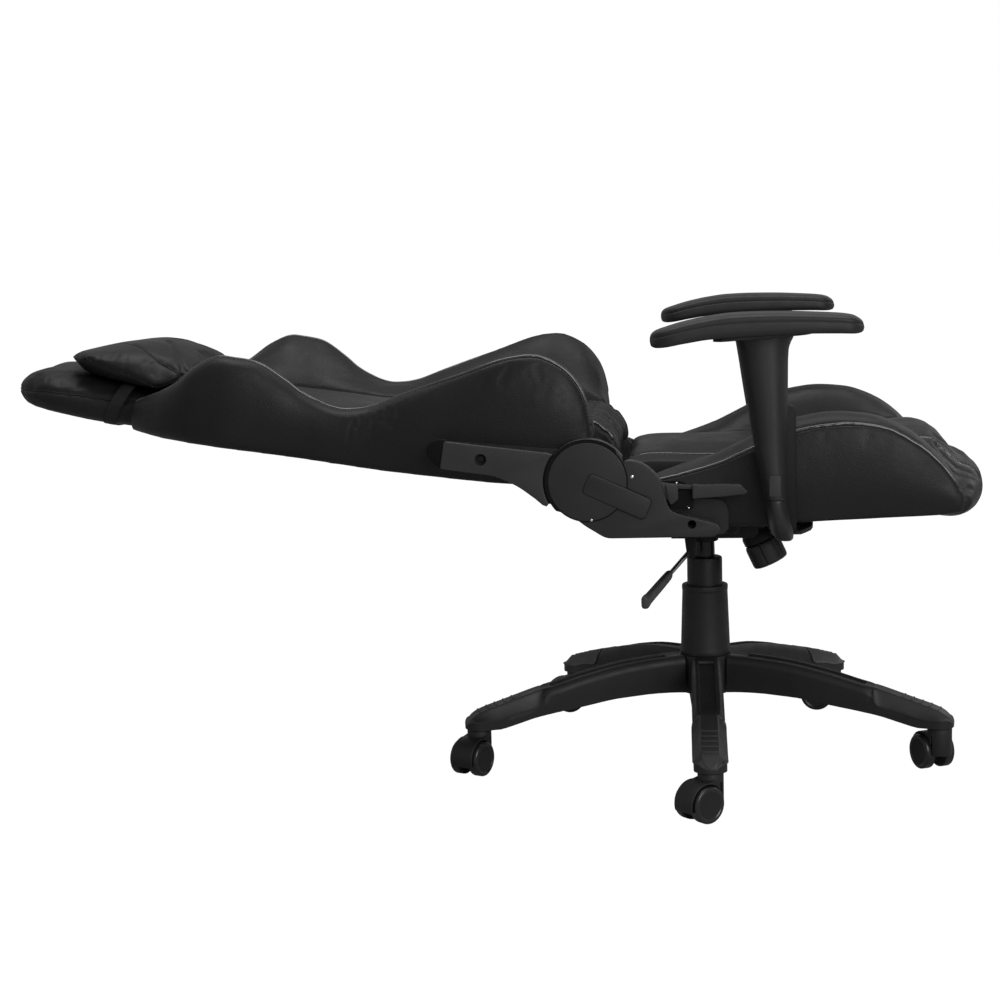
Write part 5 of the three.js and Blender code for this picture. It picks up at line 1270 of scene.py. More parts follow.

# Behind the lever the cover is open; a near-black plate at the back of the opening is painted shade, with the
# blade and a spring hook in front of it.
bm = bmesh.new()
pocket = soft_corners([(-53, 414), (-30, 414.5), (-12, 407), (-12, 378), (-39, 383), (-47, 396)], 3, 3)
plate(bm, pocket, -272, -274.6, 0)
shade = finished(bm, "lever_pocket_shade", painted_shade_black, "seat", crease=30)
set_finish(shade, "nylon")
bm = bmesh.new()
hook = bmesh.ops.create_cone(bm, cap_ends=True, segments=12, radius1=1.1, radius2=1.1, depth=9)["verts"]
bmesh.ops.rotate(bm, cent=(0, 0, 0), matrix=Matrix.Rotation(radians(48), 3, "Y"), verts=hook)
bmesh.ops.translate(bm, vec=(-35.5, -276.6, 388.4), verts=hook)
for x, z in ((-32.2, 411.4), (-17.6, 380.4)):
    rivet = bmesh.ops.create_uvsphere(bm, u_segments=12, v_segments=8, radius=1.5)["verts"]
    bmesh.ops.translate(bm, vec=(x, -276.2, z), verts=rivet)
hook = finished(bm, "spring_hook", bright_steel, "seat", crease=30)
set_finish(hook, "bright_steel")

# The release lever: a flat blade on the shaft, with a thicker handle and a lug for the spring hook.
BLADE_NEAR, BLADE_FAR = -278, -281.2
bm = bmesh.new()
blade = soft_corners([
    (-136, 400), (-52, 393), (-40, 391), (-32, 392), (-31, 405), (-12, 404), (0, 400), (0, 408), (-12, 409),
    (-31, 411), (-40, 411.5), (-138, 430),
], 2, 3)
plate(bm, blade, BLADE_NEAR, BLADE_FAR, 0.6, 2)
plate(bm, bow(PIVOT, 15, 0, 352, 44), BLADE_NEAR, BLADE_FAR, 0.6, 2)
grip_edge = soft_corners([
    (-13, 393), (-3, 393.7), (23.4, 395.3), (51, 398.3), (55.4, 400.8), (46.6, 410.2), (23.5, 410.6),
    (-3, 409.8), (-13, 411),
], 2.6, 4)
plate(bm, grip_edge, -277, -288.6, 2.2, 5)
tab = soft_corners([(-46, 410.5), (-30.8, 410.3), (-30.3, 392.7), (-39.2, 385), (-42.6, 390.5)], 1.5, 3)
plate(bm, tab, -277.4, -284.4, 1.0, 3)
lever = finished(bm, "release_lever", pad_plastic, "recline_release", "recline_lever", crease=30)
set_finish(lever, "soft_plastic")


# ---- Back panel and frame ------------------------------------------------------------------------
# The back is built on a bent steel tube. Its rear is a flat board covered in the same leather, with
# its edge turned in under the wings.
# The back is drawn standing up, from its hinge, and HINGE lays it down.
HINGE = Matrix.Translation((HINGE_X, 0, HINGE_Z)) @ Matrix.Rotation(radians(-80), 4, "Y")
back_rear = smooth_line([
    (-10, -14), (35, -19), (112, -27), (197, -33), (292, -38), (440, -39), (520, -40.5), (580, -45),
    (620, -48.5), (666, -50), (722, -47.5), (790, -42),
])
back_front = smooth_line([
    (27, 65), (60, 62), (120, 55), (200, 40), (304, 21), (393, 18), (480, 13), (560, 6), (600, 2),
])
back_widths = smooth_line([
    (0, 248, 150), (60, 254, 150), (120, 256, 150), (200, 250, 150), (300, 241, 150), (360, 243, 150),
    (420, 253, 150), (470, 261, 148), (510, 258, 144), (550, 238, 140), (585, 202, 136), (611, 166, 134),
])


def both_sides(half, middle, behind):
    """A closed section from the half that runs from its edge behind to the middle of its front."""
    return [(x, -y) for x, y in half] + [middle] + half[::-1] + [behind]


bm = bmesh.new()
rings = []
for z in [27.5, 28.5, 31, 36] + spread(44, 584, 36) + [591, 596, 598.5, 599.5]:
    w, rear = back_widths(z)[0] - 45.5, back_rear(z) + 0.2
    ends = min(1, min(z - 27, 600 - z) / 6) ** 0.5
    half = [(rear + 3.6, w), (rear + 1.2 * ends + 1.2, w + 0.2), (rear + 0.8 - 0.6 * ends, w - 1.6),
            (rear - 0.2 * ends, w * 0.9), (rear - 1.2 * ends, w * 0.5)]
    rings.append([(x, y, z) for x, y in both_sides(half, (rear - 1.6 * ends, 0), (rear + 3.9, 0))])
draw_along(bm, rings)
panel = finished(bm, "rear_panel", leather, "back", "back_panel", place=HINGE, crease=60)
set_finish(panel, "padded_leather")


# ---- Back cushion --------------------------------------------------------------------------------
# The long centre cushion between the wings: foam sewn into leather with two lengthwise seams. Its
# foot rolls forward in soft folds.
bm = bmesh.new()
rings = []
for z in [29, 31, 35, 41] + spread(50, 570, 48) + [580, 588, 594, 597.5]:
    w, front, rear = back_widths(z)[1] - 1.5, back_front(z), back_rear(z) + 24
    ends = 1 - max(0, 1 - (z - 28) / 26) ** 2 * 0.2 - max(0, 1 - (599 - z) / 20) ** 2 * 0.3
    deep = (front - rear) * ends
    half = [(0, w - 2), (deep * 0.5, w), (deep - 9, w - 0.5), (deep - 3, w - 9), (deep - 2, w - 34),
            (deep + 1, w / 2)]
    rings.append(rounded([(rear + x, y, z) for x, y in both_sides(half, (deep + 2, 0), (0, 0))], 64))
draw_along(bm, rings)
back_cover = stuffed(
    bm, "back_cover", "back", "back_cushion", place=HINGE, voxel=5.5, most=4,
    held=lambda p: 1 if abs(p.y) > 143 or p.x < back_rear(p.z) + 30 else 0)
BACK_SEAM = 112
lengthwise = [
    through([(back_front(z) + 4, y, z) for z in spread(34, 592, 20)], 150) for y in (-BACK_SEAM, BACK_SEAM)]
pressed(back_cover, lengthwise, 2.4, 4, HINGE)
surface = skin_of(back_cover)
piping("back_piping", "back", [laid_on(surface, line, HINGE, lift=0.2) for line in lengthwise], 1.7)
stitches("back_stitches", "back", [
    laid_on(surface, line, HINGE, aside=offset, lift=0.15) for line in lengthwise for offset in (-4.5, 4.5)])

ROLL_END = 150
bm = bmesh.new()
rings = []
for y in spread(-149, 149, 60):
    t = abs(y) / ROLL_END
    pull = 1 - 0.10 * t**4
    fold = 1.6 * sin(y * 0.21) + 1.1 * sin(y * 0.43 + 1)
    rings.append(rounded([(x * pull + fold * g, y, z) for x, z, g in (
        (-6, 30, 0), (26, 46, 0), (56, 42, 0.3), (65, 27, 0.8), (64, 12, 1), (58, -6, 1), (48, -18, 1),
        (36, -28, 0.8), (20, -33, 0.4), (12, -28, 0), (16, -14, 0), (10, 4, 0), (-8, 16, 0),
    )], 56))
draw_along(bm, rings)
roll = stuffed(
    bm, "hip_roll", "back", place=HINGE, voxel=5, most=4,
    held=lambda p: 1 if p.x < 20 and p.z > -5 else 0)
tucks = [
    through([(60, y + 3 * sin(y), 30), (68, y, 14), (63, y + 2, -4), (52, y, -18), (38, y - 2, -30),
             (20, y, -36)], 30)
    for y in spread(-135, 135, 12)]
pressed(roll, tucks, 3.0, 4.6, HINGE)
crosswise = [through([(x, y, z) for y in (-148, 0, 148)], 90) for x, z in ((67, 22), (60, -9))]
pressed(roll, crosswise, 2.4, 4.2, HINGE)
# A glossy cord closes each end of the roll; the roll and its cords each get a mesh of their own.
surface = skin_of(roll)
roll_ends = [
    through([(30, y, 45), (50, y, 43), (62, y, 33), (65, y, 18), (62, y, 3), (55, y, -10), (44, y, -22)], 60)
    for y in (-147, 147)]
roll_cord = piping("roll_piping", "back", [
    laid_on(surface, line, HINGE, lift=0.4) for line in roll_ends], 1.9)
for folding in (roll, roll_cord):
    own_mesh(folding)


# ---- Back wings ----------------------------------------------------------------------------------
# The side wings hold the hips low down and the shoulders higher up. A flat outer panel and a padded
# inner one meet in a corded seam that follows the crest, with grey topstitching along it.
# How far along the wing, then the crest's x and z, and its rear edge's z and how far forward it starts.
wing_ridge = smooth_line([
    (0, 45, 2, 5, 32), (0.04, 66, 8, 13, 20), (0.1, 107, 27, 26, 5), (0.15, 134, 60, 52, 0),
    (0.2, 141, 90, 88, 0), (0.25, 135, 118, 122, 0), (0.33, 101, 183, 188, 0), (0.42, 63, 250, 254, 0),
    (0.5, 37, 299, 300, 0), (0.55, 31, 330, 330, 0), (0.62, 43, 376, 376, 0), (0.68, 59, 404, 408, 0),
    (0.75, 76, 448, 450, 0), (0.8, 76, 482, 482, 0), (0.86, 59, 515, 516, 0), (0.92, 26, 548, 550, 0),
    (1, -6, 611, 611, 0),
])
CREST_INSET = 2.2


def wing_cut(t):
    """A cut across the wing from its rear edge to the crest, and where the crest seam runs."""
    ridge_x, ridge_z, rear_z, forward = wing_ridge(t)
    ridge_x += 4 * min(1, t / 0.08) * min(1, (1 - t) / 0.08)
    rear_x = back_rear(rear_z) + max(0, forward) + 1
    outer, inner = back_widths(ridge_z)
    outer -= 2.5
    inner += 1.5
    front = min(back_front(ridge_z), ridge_x - 4)
    depth = ridge_x - rear_x
    crest = max(outer - 28, inner + 12)
    step_y = max(back_widths(rear_z)[0] - 41, inner + 3)

    def at(along, y):
        along = min(along, 1) * (1 - CREST_INSET / max(depth, 8))
        return Vector((rear_x + (ridge_x - rear_x) * along, -y, rear_z + (ridge_z - rear_z) * along))

    def share(distance):
        return min(0.9, distance / depth)

    foam = share(23)
    panel = max(share(27), min(0.94, (front - rear_x) / depth))
    slope = crest - inner
    ring = [
        at(foam, inner), at((foam + panel) / 2, inner), at(panel, inner + 1),
        at(panel + (1 - panel) * 0.34, inner + slope * 0.3),
        at(panel + (1 - panel) * 0.72, inner + slope * 0.62), at(0.965, crest - 8), at(1, crest + 2),
        at(0.985, crest + 12), at(0.93, outer - 8), at(0.84, outer - 3.5), at(0.66, outer - 0.5),
        at(0.45, outer), at(share(22), outer - 1.5), at(share(9), outer - 4), at(0, outer - 13),
        at(0, outer - 24), at(0, step_y), at(foam * 0.5, step_y), at(foam, step_y - 1),
    ]
    over = 3.5 + 9 * min(1, max(0, (250 - ridge_z) / 60))
    return ring, at(0.995, crest + over)


bm = bmesh.new()
rings, crest_seam = [], []
for t in [0.0, 0.006, 0.014] + spread(0.025, 0.985, 72) + [0.992, 0.997, 1.0]:
    ring, crest_point = wing_cut(t)
    rings.append(rounded(ring, 76))
    if t > 0.03:
        crest_seam.append(crest_point)
draw_along(bm, rings)
crest_finder = finder_of(crest_seam)


def wing_held(p):
    if p.x < back_rear(p.z) + 12 or p.y > -152:
        return 1
    return max(0, 1 - crest_finder.find(p)[2] / 12)


wing = stuffed(
    bm, "wing_cover_right", "back", "back_wing_right", place=HINGE, voxel=5, most=3, held=wing_held)
crest_line = [crest_seam[0]]
crest_line += [a.lerp(b, f) for a, b in zip(crest_seam, crest_seam[1:]) for f in (0.33, 0.66, 1)]
pressed(wing, [crest_line], 1.7, 3.6, HINGE)
# Soft creases on the outer panel at the waist.
creases = []
for k in range(9):
    z = 246 + k * 7.5
    x = wing_ridge(0.42 + 0.01 * k)[0]
    creases.append(through([(x - 4 - (k % 3) * 5, -238, z), (x - 22, -243, z + 3 - (k % 2) * 5),
                            (x - 40 + (k % 4) * 6, -244, z + 9 - (k % 3) * 3)], 14))
pressed(wing, creases, 0.8, 2.4, HINGE)
surface = skin_of(wing)
details = [
    piping("wing_piping_right", "back", [laid_on(surface, crest_line, HINGE, lift=0.5)], 2.2),
    stitches("wing_stitches_right", "back", [laid_on(surface, crest_line, HINGE, aside=5.5, lift=0.15)]),
]
left_copy(wing, "back_wing_left", padded=0.6)
for detail in details:
    left_copy(detail)


# ---- Headrest ------------------------------------------------------------------------------------
# The upper end of the back: a padded front panel sewn to a deep border that turns round the sides
# and over the rounded top.
HEAD_FOOT, HEAD_END, HEAD_TOP, HEAD_CORNER, HEAD_FLAT = 600, 794.5, 795.5, 70, 60
head_front = smooth_line([
    (598, -2), (640, 2), (690, 5), (730, 6.5), (750, 6), (765, 4), (776, 1), (784, -3), (789.5, -8),
    (793, -14), (HEAD_END, -21),
])
head_border = smooth_line([
    (598, -7), (612, -9), (634, -12.5), (652, -14), (693, -15), (719, -16), (750, -18), (775, -21),
    (HEAD_END, -27),
])


def head_width(z):
    """Half the headrest's width, with its corners turned on a large radius."""
    into = max(0, z - (HEAD_TOP - HEAD_CORNER))
    return HEAD_FLAT + sqrt(max(0, HEAD_CORNER * HEAD_CORNER - into * into))


bm = bmesh.new()
rings, border = [], []
heights = [HEAD_FOOT + 0.5, HEAD_FOOT + 2] + spread(HEAD_FOOT + 6, 740, 24)
heights += [748, 755, 761, 767, 772, 777, 781, 784.5, 787.5, 790, 792, 793.5, HEAD_END]
for z in heights:
    w = head_width(min(z, 794.1))
    front = head_front(z) - 1
    rear = back_rear(min(z, 790)) + 1 + 8 * max(0, (z - 758) / 36) ** 2
    side = head_border(z)
    half = [(rear, w - 26), (rear + 2, w - 12), (rear + 9, w - 2), ((rear + side) / 2, w),
            (side - 2, w - 1.5), (side + (front - side) * 0.45, w - 7), (front - 4, w - 20),
            (front - 1, w * 0.66), (front + 0.6, w * 0.33)]
    section = both_sides(half, (front + 1, 0), (rear - 0.5, 0))
    rings.append(rounded([(x, y, z) for x, y in section], 80))
    border.append(((side, -w + 1, z), (side, w - 1, z)))
draw_along(bm, rings)
across_top = []
for a in (20, 50, 90, 130, 160):
    rise = 2 * sin(radians(a))
    across_top.append((-27 + rise, -62 * cos(radians(a)), 794 + rise))
right_side, left_side = [pair[0] for pair in border[2:]], [pair[1] for pair in border[2:]]
border_line = through(right_side + across_top + left_side[::-1], 420)
headrest = stuffed(
    bm, "headrest_cover", "back", "headrest", place=HINGE, voxel=4.5, most=4,
    held=lambda p: 1 if p.z < HEAD_FOOT + 4 or p.x < back_rear(p.z) + 5 else 0)
pressed(headrest, [border_line], 1.8, 3.6, HINGE)
joins = [
    through([(0, s * 126, 614), (-9, s * 132, 609.7), (-22, s * 133, 605.3), (-40, s * 120, 601.5)], 30)
    for s in (-1, 1)]
pressed(headrest, joins, 1.8, 3, HINGE)
surface = skin_of(headrest)
piping("headrest_piping", "back", [
    laid_on(surface, line, HINGE, lift=0.1) for line in [border_line] + joins], 1.0, leather)


# ---- Back arm covers -----------------------------------------------------------------------------
# A grey moulded cap over each steel arm, bolted through to the back's frame.
arm_grey = moulded_plastic(
    "arm_plastic", (0.0200, 0.0200, 0.0205), (0.032, 0.032, 0.0325), 0.42, 1500, 0.00006, specular=0.36)
ARM_NEAR, ARM_FACE, BOLT_X, BOLT_Z = -276.9, -285.3, 6, 135
arm_edges = smooth_line([
    (38, -36, 29), (46, -39, 28.4), (60, -32, 27.6), (85, -20, 26.4), (100, -15.5, 25.6), (118, -12, 24.6),
    (150, -13, 23), (184, -14, 21.6),
])
bm = bmesh.new()
heights = spread(40, 180, 28)
# The foot of the cover clears the round boss.
outline = [(54.8 * sin(radians(a)), 54.8 * cos(radians(a))) for a in spread(29, -39, 22)]
outline += [(arm_edges(z)[0] + 0.3, z) for z in heights if z > 44]
outline += [(-13.2, 181.6), (-11, 183.4), (19, 183.8), (21, 182.2)]
outline += [(arm_edges(z)[1] - 0.3, z) for z in reversed(heights) if z > 50]
plate(bm, outline, ARM_NEAR, ARM_FACE, 1.6, 4)
arm_cover = finished(bm, "arm_cover_right", arm_grey, "back", "back_arm_cover_right", place=HINGE, crease=30)
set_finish(arm_cover, "arm_grey")
bored(arm_cover, 7.4, 40, HINGE @ Matrix.Translation((BOLT_X, -285, BOLT_Z)))

# The left arm and its cover are narrower at the foot, where they turn on the plain pivot.
narrow_arm = bow((0, 0), 24, 180, 360, 24) + soft_corners(
    [(24, 40), (21, 181), (-12, 177), (-10, 119), (-18, 85), (-24, 46)], 2, 3)
narrow_cover = soft_corners(
    [(25.5, 34), (22.5, 183), (-13.5, 179), (-12, 119), (-20, 85), (-26, 46), (-26, 34)], 3, 3)
for name, node, outline, near, far, material, slot in (
    ("back_arm_low", "back_arm_left", narrow_arm, -271.7, -276.6, black_steel, "black_steel"),
    ("arm_cover_low", "back_arm_cover_left", narrow_cover, ARM_NEAR, ARM_FACE, arm_grey, "arm_grey"),
):
    bm = bmesh.new()
    plate(bm, outline, near, far, 0.8, 3)
    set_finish(finished(bm, name, material, "back", node, place=LOW @ HINGE, crease=30), slot)

# The rounded end of each steel arm shows past its cover, drawn in the same near-black as the painted shade
# and darker than the arm's steel, and a socket screw holds the cover on.
bm = bmesh.new()
arm_tip = soft_corners([
    (-13, 176), (-13, 186), (-6, 198), (2, 203.5), (12, 203.5), (20, 197), (24, 186), (22, 176),
], 5, 4)
plate(bm, arm_tip, -275.6, -282.6, 1.8, 4)
arm_end = finished(bm, "arm_end_right", painted_shade_black, "back", place=HINGE, crease=30)
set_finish(arm_end, "nylon")
left_copy(arm_end)
bm = bmesh.new()
turned(bm, [(0, 0), (4.2, 0), (5.0, 0.6), (5.2, 1.6), (5.2, 4), (0, 4)], 32)
socket = bmesh.ops.create_cone(bm, cap_ends=True, segments=6, radius1=2.6, radius2=2.6, depth=1.2)["verts"]
bmesh.ops.translate(bm, vec=(0, 0, 0.2), verts=socket)
bmesh.ops.rotate(bm, cent=(0, 0, 0), matrix=Matrix.Rotation(-pi / 2, 3, "X"), verts=bm.verts)
bmesh.ops.translate(bm, vec=(BOLT_X, -277.8, BOLT_Z), verts=bm.verts)
bolt = finished(bm, "back_bolt_right", dark_steel, "back", place=HINGE, crease=30)
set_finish(bolt, "black_steel")
left_copy(bolt)


# ---- Neck pillow ---------------------------------------------------------------------------------
# A loose fibre-filled pillow sewn from leather panels. It is fullest low down, behind the neck, and
# thins towards the head, and it hangs on an elastic strap round the headrest.
pillow_front = smooth_line([
    (549, 43), (551.5, 47), (556, 50), (566, 54), (578, 58), (592, 61), (607, 62.5), (626, 61.5), (645, 57.5),
    (663, 52), (686, 45), (701, 39.5), (714, 34.5), (726, 29.2), (733, 25.8), (738, 24),
])
pillow_seam = smooth_line([
    (549, 39), (551.5, 36), (556, 28), (562, 22), (569, 17), (580, 10), (590, 6.5), (603, 9.6), (617, 14.3),
    (636, 20), (657, 23.7), (670, 27), (684, 29.6), (699, 31), (714, 30.4), (726, 26.6), (738, 23.2),
])
pillow_rear = smooth_line([
    (549, 38), (551.5, 33), (556, 23), (562, 15), (572, 10), (588, 6.4), (607, 6), (640, 7), (665, 9.5),
    (685, 12.5), (702, 15.5), (714, 17.5), (726, 19.5), (733, 21), (738, 22.4),
])
pillow_width = smooth_line([
    (549, 112), (551.5, 122), (556, 129), (562, 134), (570, 138), (600, 140), (640, 140), (668, 138),
    (690, 133), (703, 125), (714, 111), (722, 96), (729, 78), (734.5, 58), (738, 34),
])
bm = bmesh.new()
rings = []
heights = [549, 549.8, 551.5, 554, 557.5, 562, 568] + spread(575, 708, 28)
heights += [712, 716, 720, 723.5, 727, 730, 733, 735.4, 737, 738]
for z in heights:
    w, seam = pillow_width(z) - 1, pillow_seam(z)
    rear = min(pillow_rear(z), seam - 0.6)
    front = max(pillow_front(z) - 2.5, seam + 0.6)
    half = [(rear, 0.3), (rear, 0.6), (rear + (seam - rear) * 0.2, 0.85),
            (rear + (seam - rear) * 0.6, 0.955), (seam, 1)]
    half += [(seam + (front - seam) * a, y) for a, y in (
        (0.26, 0.99), (0.5, 0.93), (0.7, 0.81), (0.86, 0.62), (0.965, 0.36))]
    section = [(rear, 0)] + half + [(front, 0)] + [(x, -y) for x, y in reversed(half)]
    rings.append(rounded([(x, y * w, z) for x, y in section], 88))
draw_along(bm, rings)
pillow = stuffed(
    bm, "pillow_cover", "back", "neck_pillow", place=HINGE, voxel=4.5, most=5, fill=0.7,
    held=lambda p: 1 if p.x < 11.5 and abs(p.y) < 100 else 0)
edge_line = through([
    (pillow_seam(z), -pillow_width(z), z) for z in spread(553, 735, 40)], 160)
panel_lines = []
for s in (-1, 1):
    panel_lines.append(through([
        (46, s * 8, 684), (54, s * 34, 668), (55, s * 62, 652), (53, s * 88, 630), (49, s * 107, 608),
        (44, s * 119, 588), (38, s * 127, 571), (32, s * 130, 558)], 90))
    panel_lines.append(through([
        (62, s * 22, 608), (60, s * 48, 597), (56, s * 75, 585), (49, s * 98, 573), (40, s * 117, 562),
        (33, s * 127, 556)], 60))
pressed(pillow, panel_lines[::2], 1.6, 3.2, HINGE)
pressed(pillow, panel_lines[1::2], 3.4, 4.4, HINGE)
edge_lines = [edge_line, [Vector((p.x, -p.y, p.z)) for p in edge_line]]
pressed(pillow, edge_lines, 1.2, 3.0, HINGE)
puckers = []
for k in range(15):
    s = -1 if k % 2 else 1
    z = 586 + k * 9.5
    w = pillow_width(z)
    puckers.append(through([
        (30 + 4 * sin(k), s * (w - 2), z),
        (44 + 3 * cos(k * 2), s * (w - 12 - (k % 3) * 4), z + 5 * sin(k * 1.7)),
    ], 10))
pressed(pillow, puckers, 0.9, 3.0, HINGE)
surface = skin_of(pillow)
piping("pillow_piping", "back", [
    laid_on(surface, line, HINGE, lift=0.2) for line in edge_lines], 1.0, leather)
piping("pillow_cords", "back", [
    laid_on(surface, line, HINGE, lift=0.1) for line in panel_lines[::2]], 0.8, leather)

# The strap: one loop of black elastic webbing round the headrest, under the pillow.
webbing, tree, skin, spot = start_material("elastic_webbing", (0.012, 0.012, 0.0122), 0.75, 0.2)
ribs = tree.nodes.new("ShaderNodeTexWave")
ribs.inputs["Scale"].default_value = 260
ribs.inputs["Distortion"].default_value = 0.6
ribs.bands_direction = "Z"
tree.links.new(spot, ribs.inputs["Vector"])
tint(tree, ribs.outputs["Fac"], (0.0085, 0.0085, 0.0087), (0.020, 0.020, 0.0203), skin)
tree.links.new(raised(tree, ribs.outputs["Fac"], 0.0003, 0.7), skin.inputs["Normal"])
STRAP_HALF, STRAP_FOOT, STRAP_LEAN = 9, 630, 22
bm = bmesh.new()
path = rounded([(x, y, 0) for x, y in (
    (8, 0), (8, -60), (7, -100), (2, -122), (-14, -134.2), (-31, -133), (-46, -120), (-52, -80), (-53.5, 0),
    (-52, 80), (-46, 120), (-31, 133), (-14, 134.2), (2, 122), (7, 100), (8, 60),
)], 160)
loop = []
for k, p in enumerate(path):
    ahead = (path[(k + 1) % len(path)] - path[k - 1]).normalized()
    outward = Vector((ahead.y, -ahead.x, 0))
    if outward.dot(p - Vector((-20, 0, 0))) < 0:
        outward = -outward
    # It slants up the headrest from its front to its rear.
    middle = STRAP_FOOT + STRAP_LEAN * max(0, min(1, (8 - p.x) / 61))
    section = []
    for over, proud in (
        (-STRAP_HALF, 0.1), (-STRAP_HALF + 0.4, 1.3), (0, 1.6), (STRAP_HALF - 0.4, 1.3), (STRAP_HALF, 0.1),
        (0, -0.2),
    ):
        q = p + outward * proud
        section.append((q.x, q.y, middle + over))
    loop.append(section)
draw_along(bm, loop + [loop[0]], caps=False)
strap = finished(bm, "elastic_strap", webbing, "back", "pillow_strap", place=HINGE, crease=70)
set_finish(strap, "strap")


# ---- Armrests ------------------------------------------------------------------------------------
# Steel L-brackets bolted under the seat carry moulded posts that slide up and down on a toothed rack.
# A nylon cup closes each post from below, and a button in its face frees the catch. On top sits an
# arched pad of soft polyurethane foam over a plate.
post_plastic = moulded_plastic(
    "post_plastic", (0.0125, 0.0125, 0.0130), (0.022, 0.022, 0.0225), 0.46, 1500, 0.00006, specular=0.33)
bm = bmesh.new()
rack = [
    (80, 352), (114, 352), (114.4, 440), (114.4, 497), (112, 503), (106, 505.6), (88, 505.6), (82, 503),
    (80, 497),
]
plate(bm, rack, -262, -270, 1.6, 3)
rings = []
# The foot turns in under the seat and widens towards its bolts.
for y, z, rear, front in (
    (-266, 366, 81, 113.4), (-266, 356, 81, 113.6), (-264.5, 349.5, 81.5, 114.5), (-259, 345.6, 83, 116.5),
    (-250, 344.4, 85.5, 120), (-236, 344.2, 90, 126), (-215, 344.2, 96, 134), (-190, 344.2, 99, 138),
    (-172, 344.2, 100, 139),
):
    lean = min(1, max(0, (-266.5 - y) / -16))
    out, up = 4 * (1 - lean), 2.4 * lean
    rings.append([(rear, y - out, z - up), (front, y - out, z - up), (front, y + out, z + up),
                  (rear, y + out, z + up)])
draw_along(bm, rings)
# The bracket takes the darker of the two black steels: its own black coat, darkened further as painted shade
# behind the post.
bracket = finished(bm, "arm_bracket_cover_right", dark_steel, "seat", "arm_bracket_right", crease=30)
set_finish(bracket, "black_steel")
left_copy(bracket, "arm_bracket_left")

pad_top = smooth_line([
    (-62, 592), (-61.5, 595), (-60, 597.5), (-56, 600.4), (-45, 604), (-20, 611), (8, 616.5), (37, 620),
    (71, 621), (106, 620.6), (142, 619), (170, 617), (182, 615), (188, 612.3), (192, 608), (194, 602),
])
pad_under = smooth_line([
    (-62, 588), (-61.3, 584.8), (-59, 582.4), (-54, 581.5), (-20, 586.6), (10, 591), (75, 594.6), (135, 596),
    (165, 595.6), (182, 595), (189, 595.8), (192.8, 598), (194, 600.5),
])
POST_FACE, POST_BACK = -321.5, -274
post_edges = smooth_line([
    (394, 74.3, 101.8), (406, 72.3, 101.8), (448, 64.3, 102), (492, 57.3, 103.8), (526, 52.3, 104.3),
    (564, 46.3, 104.8), (588, 43.3, 106.8),
])


def post_cut(rear, front, face, z, wall=0.0):
    """A cut across the post: flat at the back, bowed round to the face."""
    rear, front, face = rear + wall, front - wall, face + wall
    middle, half = (rear + front) / 2, (front - rear) / 2
    deep = POST_BACK - face
    cut = []
    for a in spread(0, pi, 31):
        along = half * abs(cos(a)) ** 0.72 * (1 if cos(a) > 0 else -1)
        cut.append((middle - along, POST_BACK - deep * sin(a) ** 0.86, z))
    return cut


POST_FOOT, POST_WALL = 394.4, 3
bm = bmesh.new()
rings = []
for z in [POST_FOOT, 394.8, 395.8, 397] + spread(402, 574, 14) + [579, 583, 586, 588, 590.5, 592.6]:
    rear, front = post_edges(min(z, 588))
    tuck = 0.8 * max(0, 1 - (z - POST_FOOT) / 1.6)
    flare = min(1.1, max(0, z - 572) / 16)
    rear, front = rear + tuck - 4 * flare * flare, front - tuck + 4 * flare * flare
    outer = post_cut(rear, front, POST_FACE + tuck, z)
    rings.append(outer + post_cut(rear, front, POST_FACE + tuck, z, POST_WALL)[::-1])
draw_along(bm, rings)
# The plate under the pad, moulded in one with the post.
PLATE_REAR, PLATE_FRONT, PLATE_MIDDLE, PLATE_HALF = 14, 133, -303.5, 27
rings = []
for x in [PLATE_REAR, 14.6, 16, 19] + spread(24, 124, 12) + [128, 131, 132.4, PLATE_FRONT]:
    into = min(1, max(0.05, min(x - PLATE_REAR, PLATE_FRONT - x) / 12)) ** 0.5
    near, far = PLATE_MIDDLE - PLATE_HALF * into, PLATE_MIDDLE + PLATE_HALF * into
    top, low = pad_under(x) + 0.6, 586.4 + 8 * (x - PLATE_REAR) / (PLATE_FRONT - PLATE_REAR)
    rings.append([(x, near, low + 0.6), (x, near + 0.8, low), (x, far - 0.8, low), (x, far, low + 0.6),
                  (x, far, top), (x, near, top)])
draw_along(bm, rings)
post = finished(bm, "post_right", post_plastic, "arm_right", "arm_post_right", crease=28)
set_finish(post, "nylon")
left_copy(post, "arm_post_left")

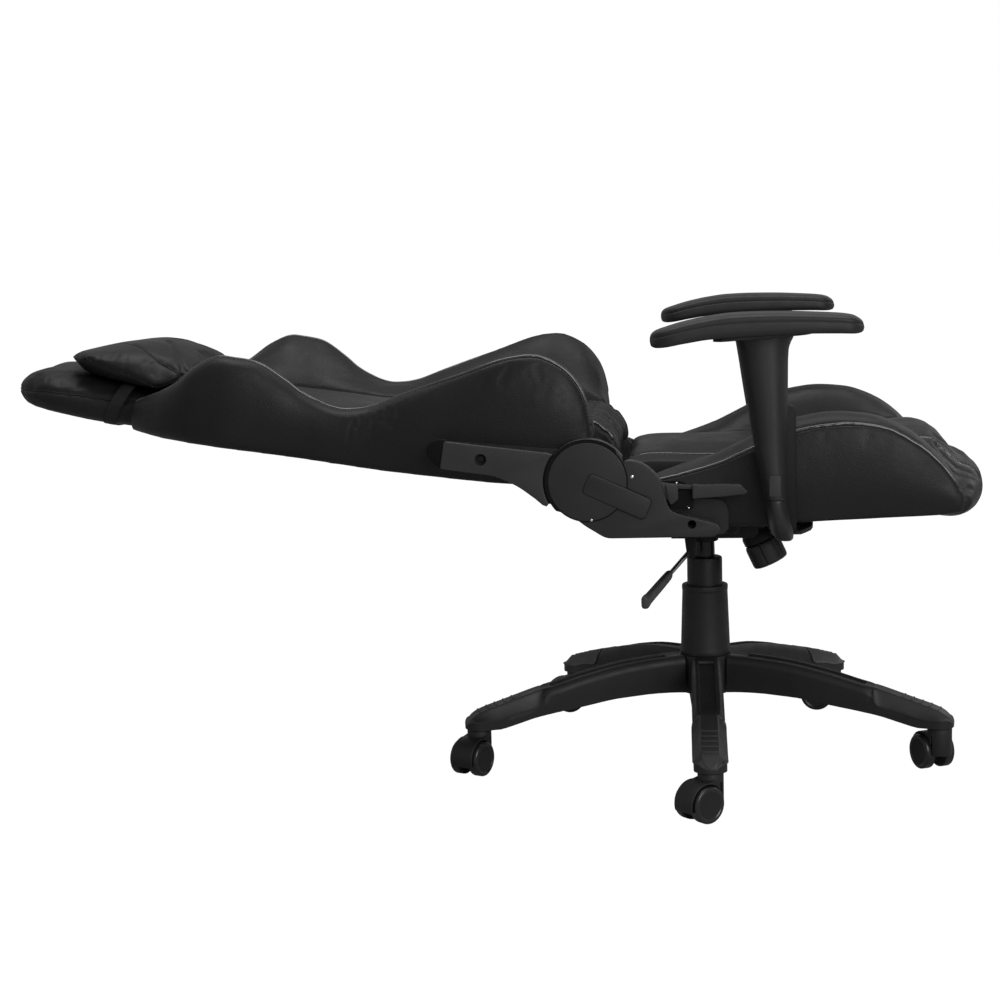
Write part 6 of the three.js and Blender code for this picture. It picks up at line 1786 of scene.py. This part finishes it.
cup = smooth_line([
    (339.8, 93, 108, 0.72), (341, 90.5, 109.2, 0.62), (344, 86.6, 110.2, 0.45), (350, 83.2, 110, 0.30),
    (357, 81.2, 108.4, 0.16), (366, 79.3, 106, 0.06), (376, 77.8, 103.6, 0.015), (386, 76.4, 101.6, 0),
    (393.9, 75.4, 101.6, 0),
])
bm = bmesh.new()
rings = []
for z in [339.8, 340.2, 341, 343, 346, 350, 355, 361, 367, 374, 380, 386, 391, 393, 393.7]:
    rear, front, lean = cup(z)
    tuck = 0.7 * max(0, (z - 392.6) / 1.1)
    rings.append(post_cut(rear + tuck, front - tuck, POST_FACE + tuck + lean * 44, z))
draw_along(bm, rings)
shroud = finished(bm, "shroud_right", post_plastic, "seat", "arm_shroud_right", crease=28)
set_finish(shroud, "nylon")
left_copy(shroud, "arm_shroud_left")

bm = bmesh.new()
plate(bm, [
    (79.6, 401), (81.6, 399.1), (91.4, 399.1), (93.4, 401), (93.4, 423), (91.4, 424.9), (81.6, 424.9),
    (79.6, 423),
], -323.2, -314, 0.9, 4)
button = finished(bm, "button_right", pad_plastic, "arm_right_button", "arm_button_right", crease=30)
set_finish(button, "soft_plastic")
left_copy(button, "arm_button_left")

PAD_MIDDLE, PAD_HALF = -301.5, 46
# Half a section, from the underside over the joint line and round to the top.
pad_side = [
    (0.4, 0), (0.88, 0), (0.965, 0.05), (1, 0.2), (1, 0.42), (0.985, 0.56), (0.955, 0.615), (0.958, 0.66),
    (0.95, 0.8), (0.88, 0.93), (0.7, 0.99), (0.35, 1),
]
bm = bmesh.new()
rings = []
stations = [-62, -61.8, -61.2, -60, -58, -55, -51] + spread(-45, 177, 34)
stations += [182, 186, 189.5, 191.8, 193.2, 193.8, 194]
for x in stations:
    shy = max(0, -30 - x) / 32 if x < 0 else max(0, x - 168) / 26
    wide = PAD_HALF * sqrt(max(0.03, 1 - min(shy, 0.996) ** 2.7))
    top, low = pad_top(x), pad_under(x)
    right = [(-y, h) for y, h in pad_side]
    section = right[1:] + [(0, 1)] + pad_side[::-1] + [(0, 0), right[0]]
    rings.append(rounded([(x, PAD_MIDDLE + y * wide, low + (top - low) * h) for y, h in section], 104))
draw_along(bm, rings)
arm_foam = moulded_plastic(
    "arm_foam", (0.0100, 0.0100, 0.0103), (0.0175, 0.0175, 0.0178), 0.5, 900, 0.00011, specular=0.3, edge_highlight=0.3)
rest = finished(bm, "pad_right", arm_foam, "arm_right", "arm_pad_right", crease=50)
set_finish(rest, "soft_plastic")
left_copy(rest, "arm_pad_left", padded=0.9)
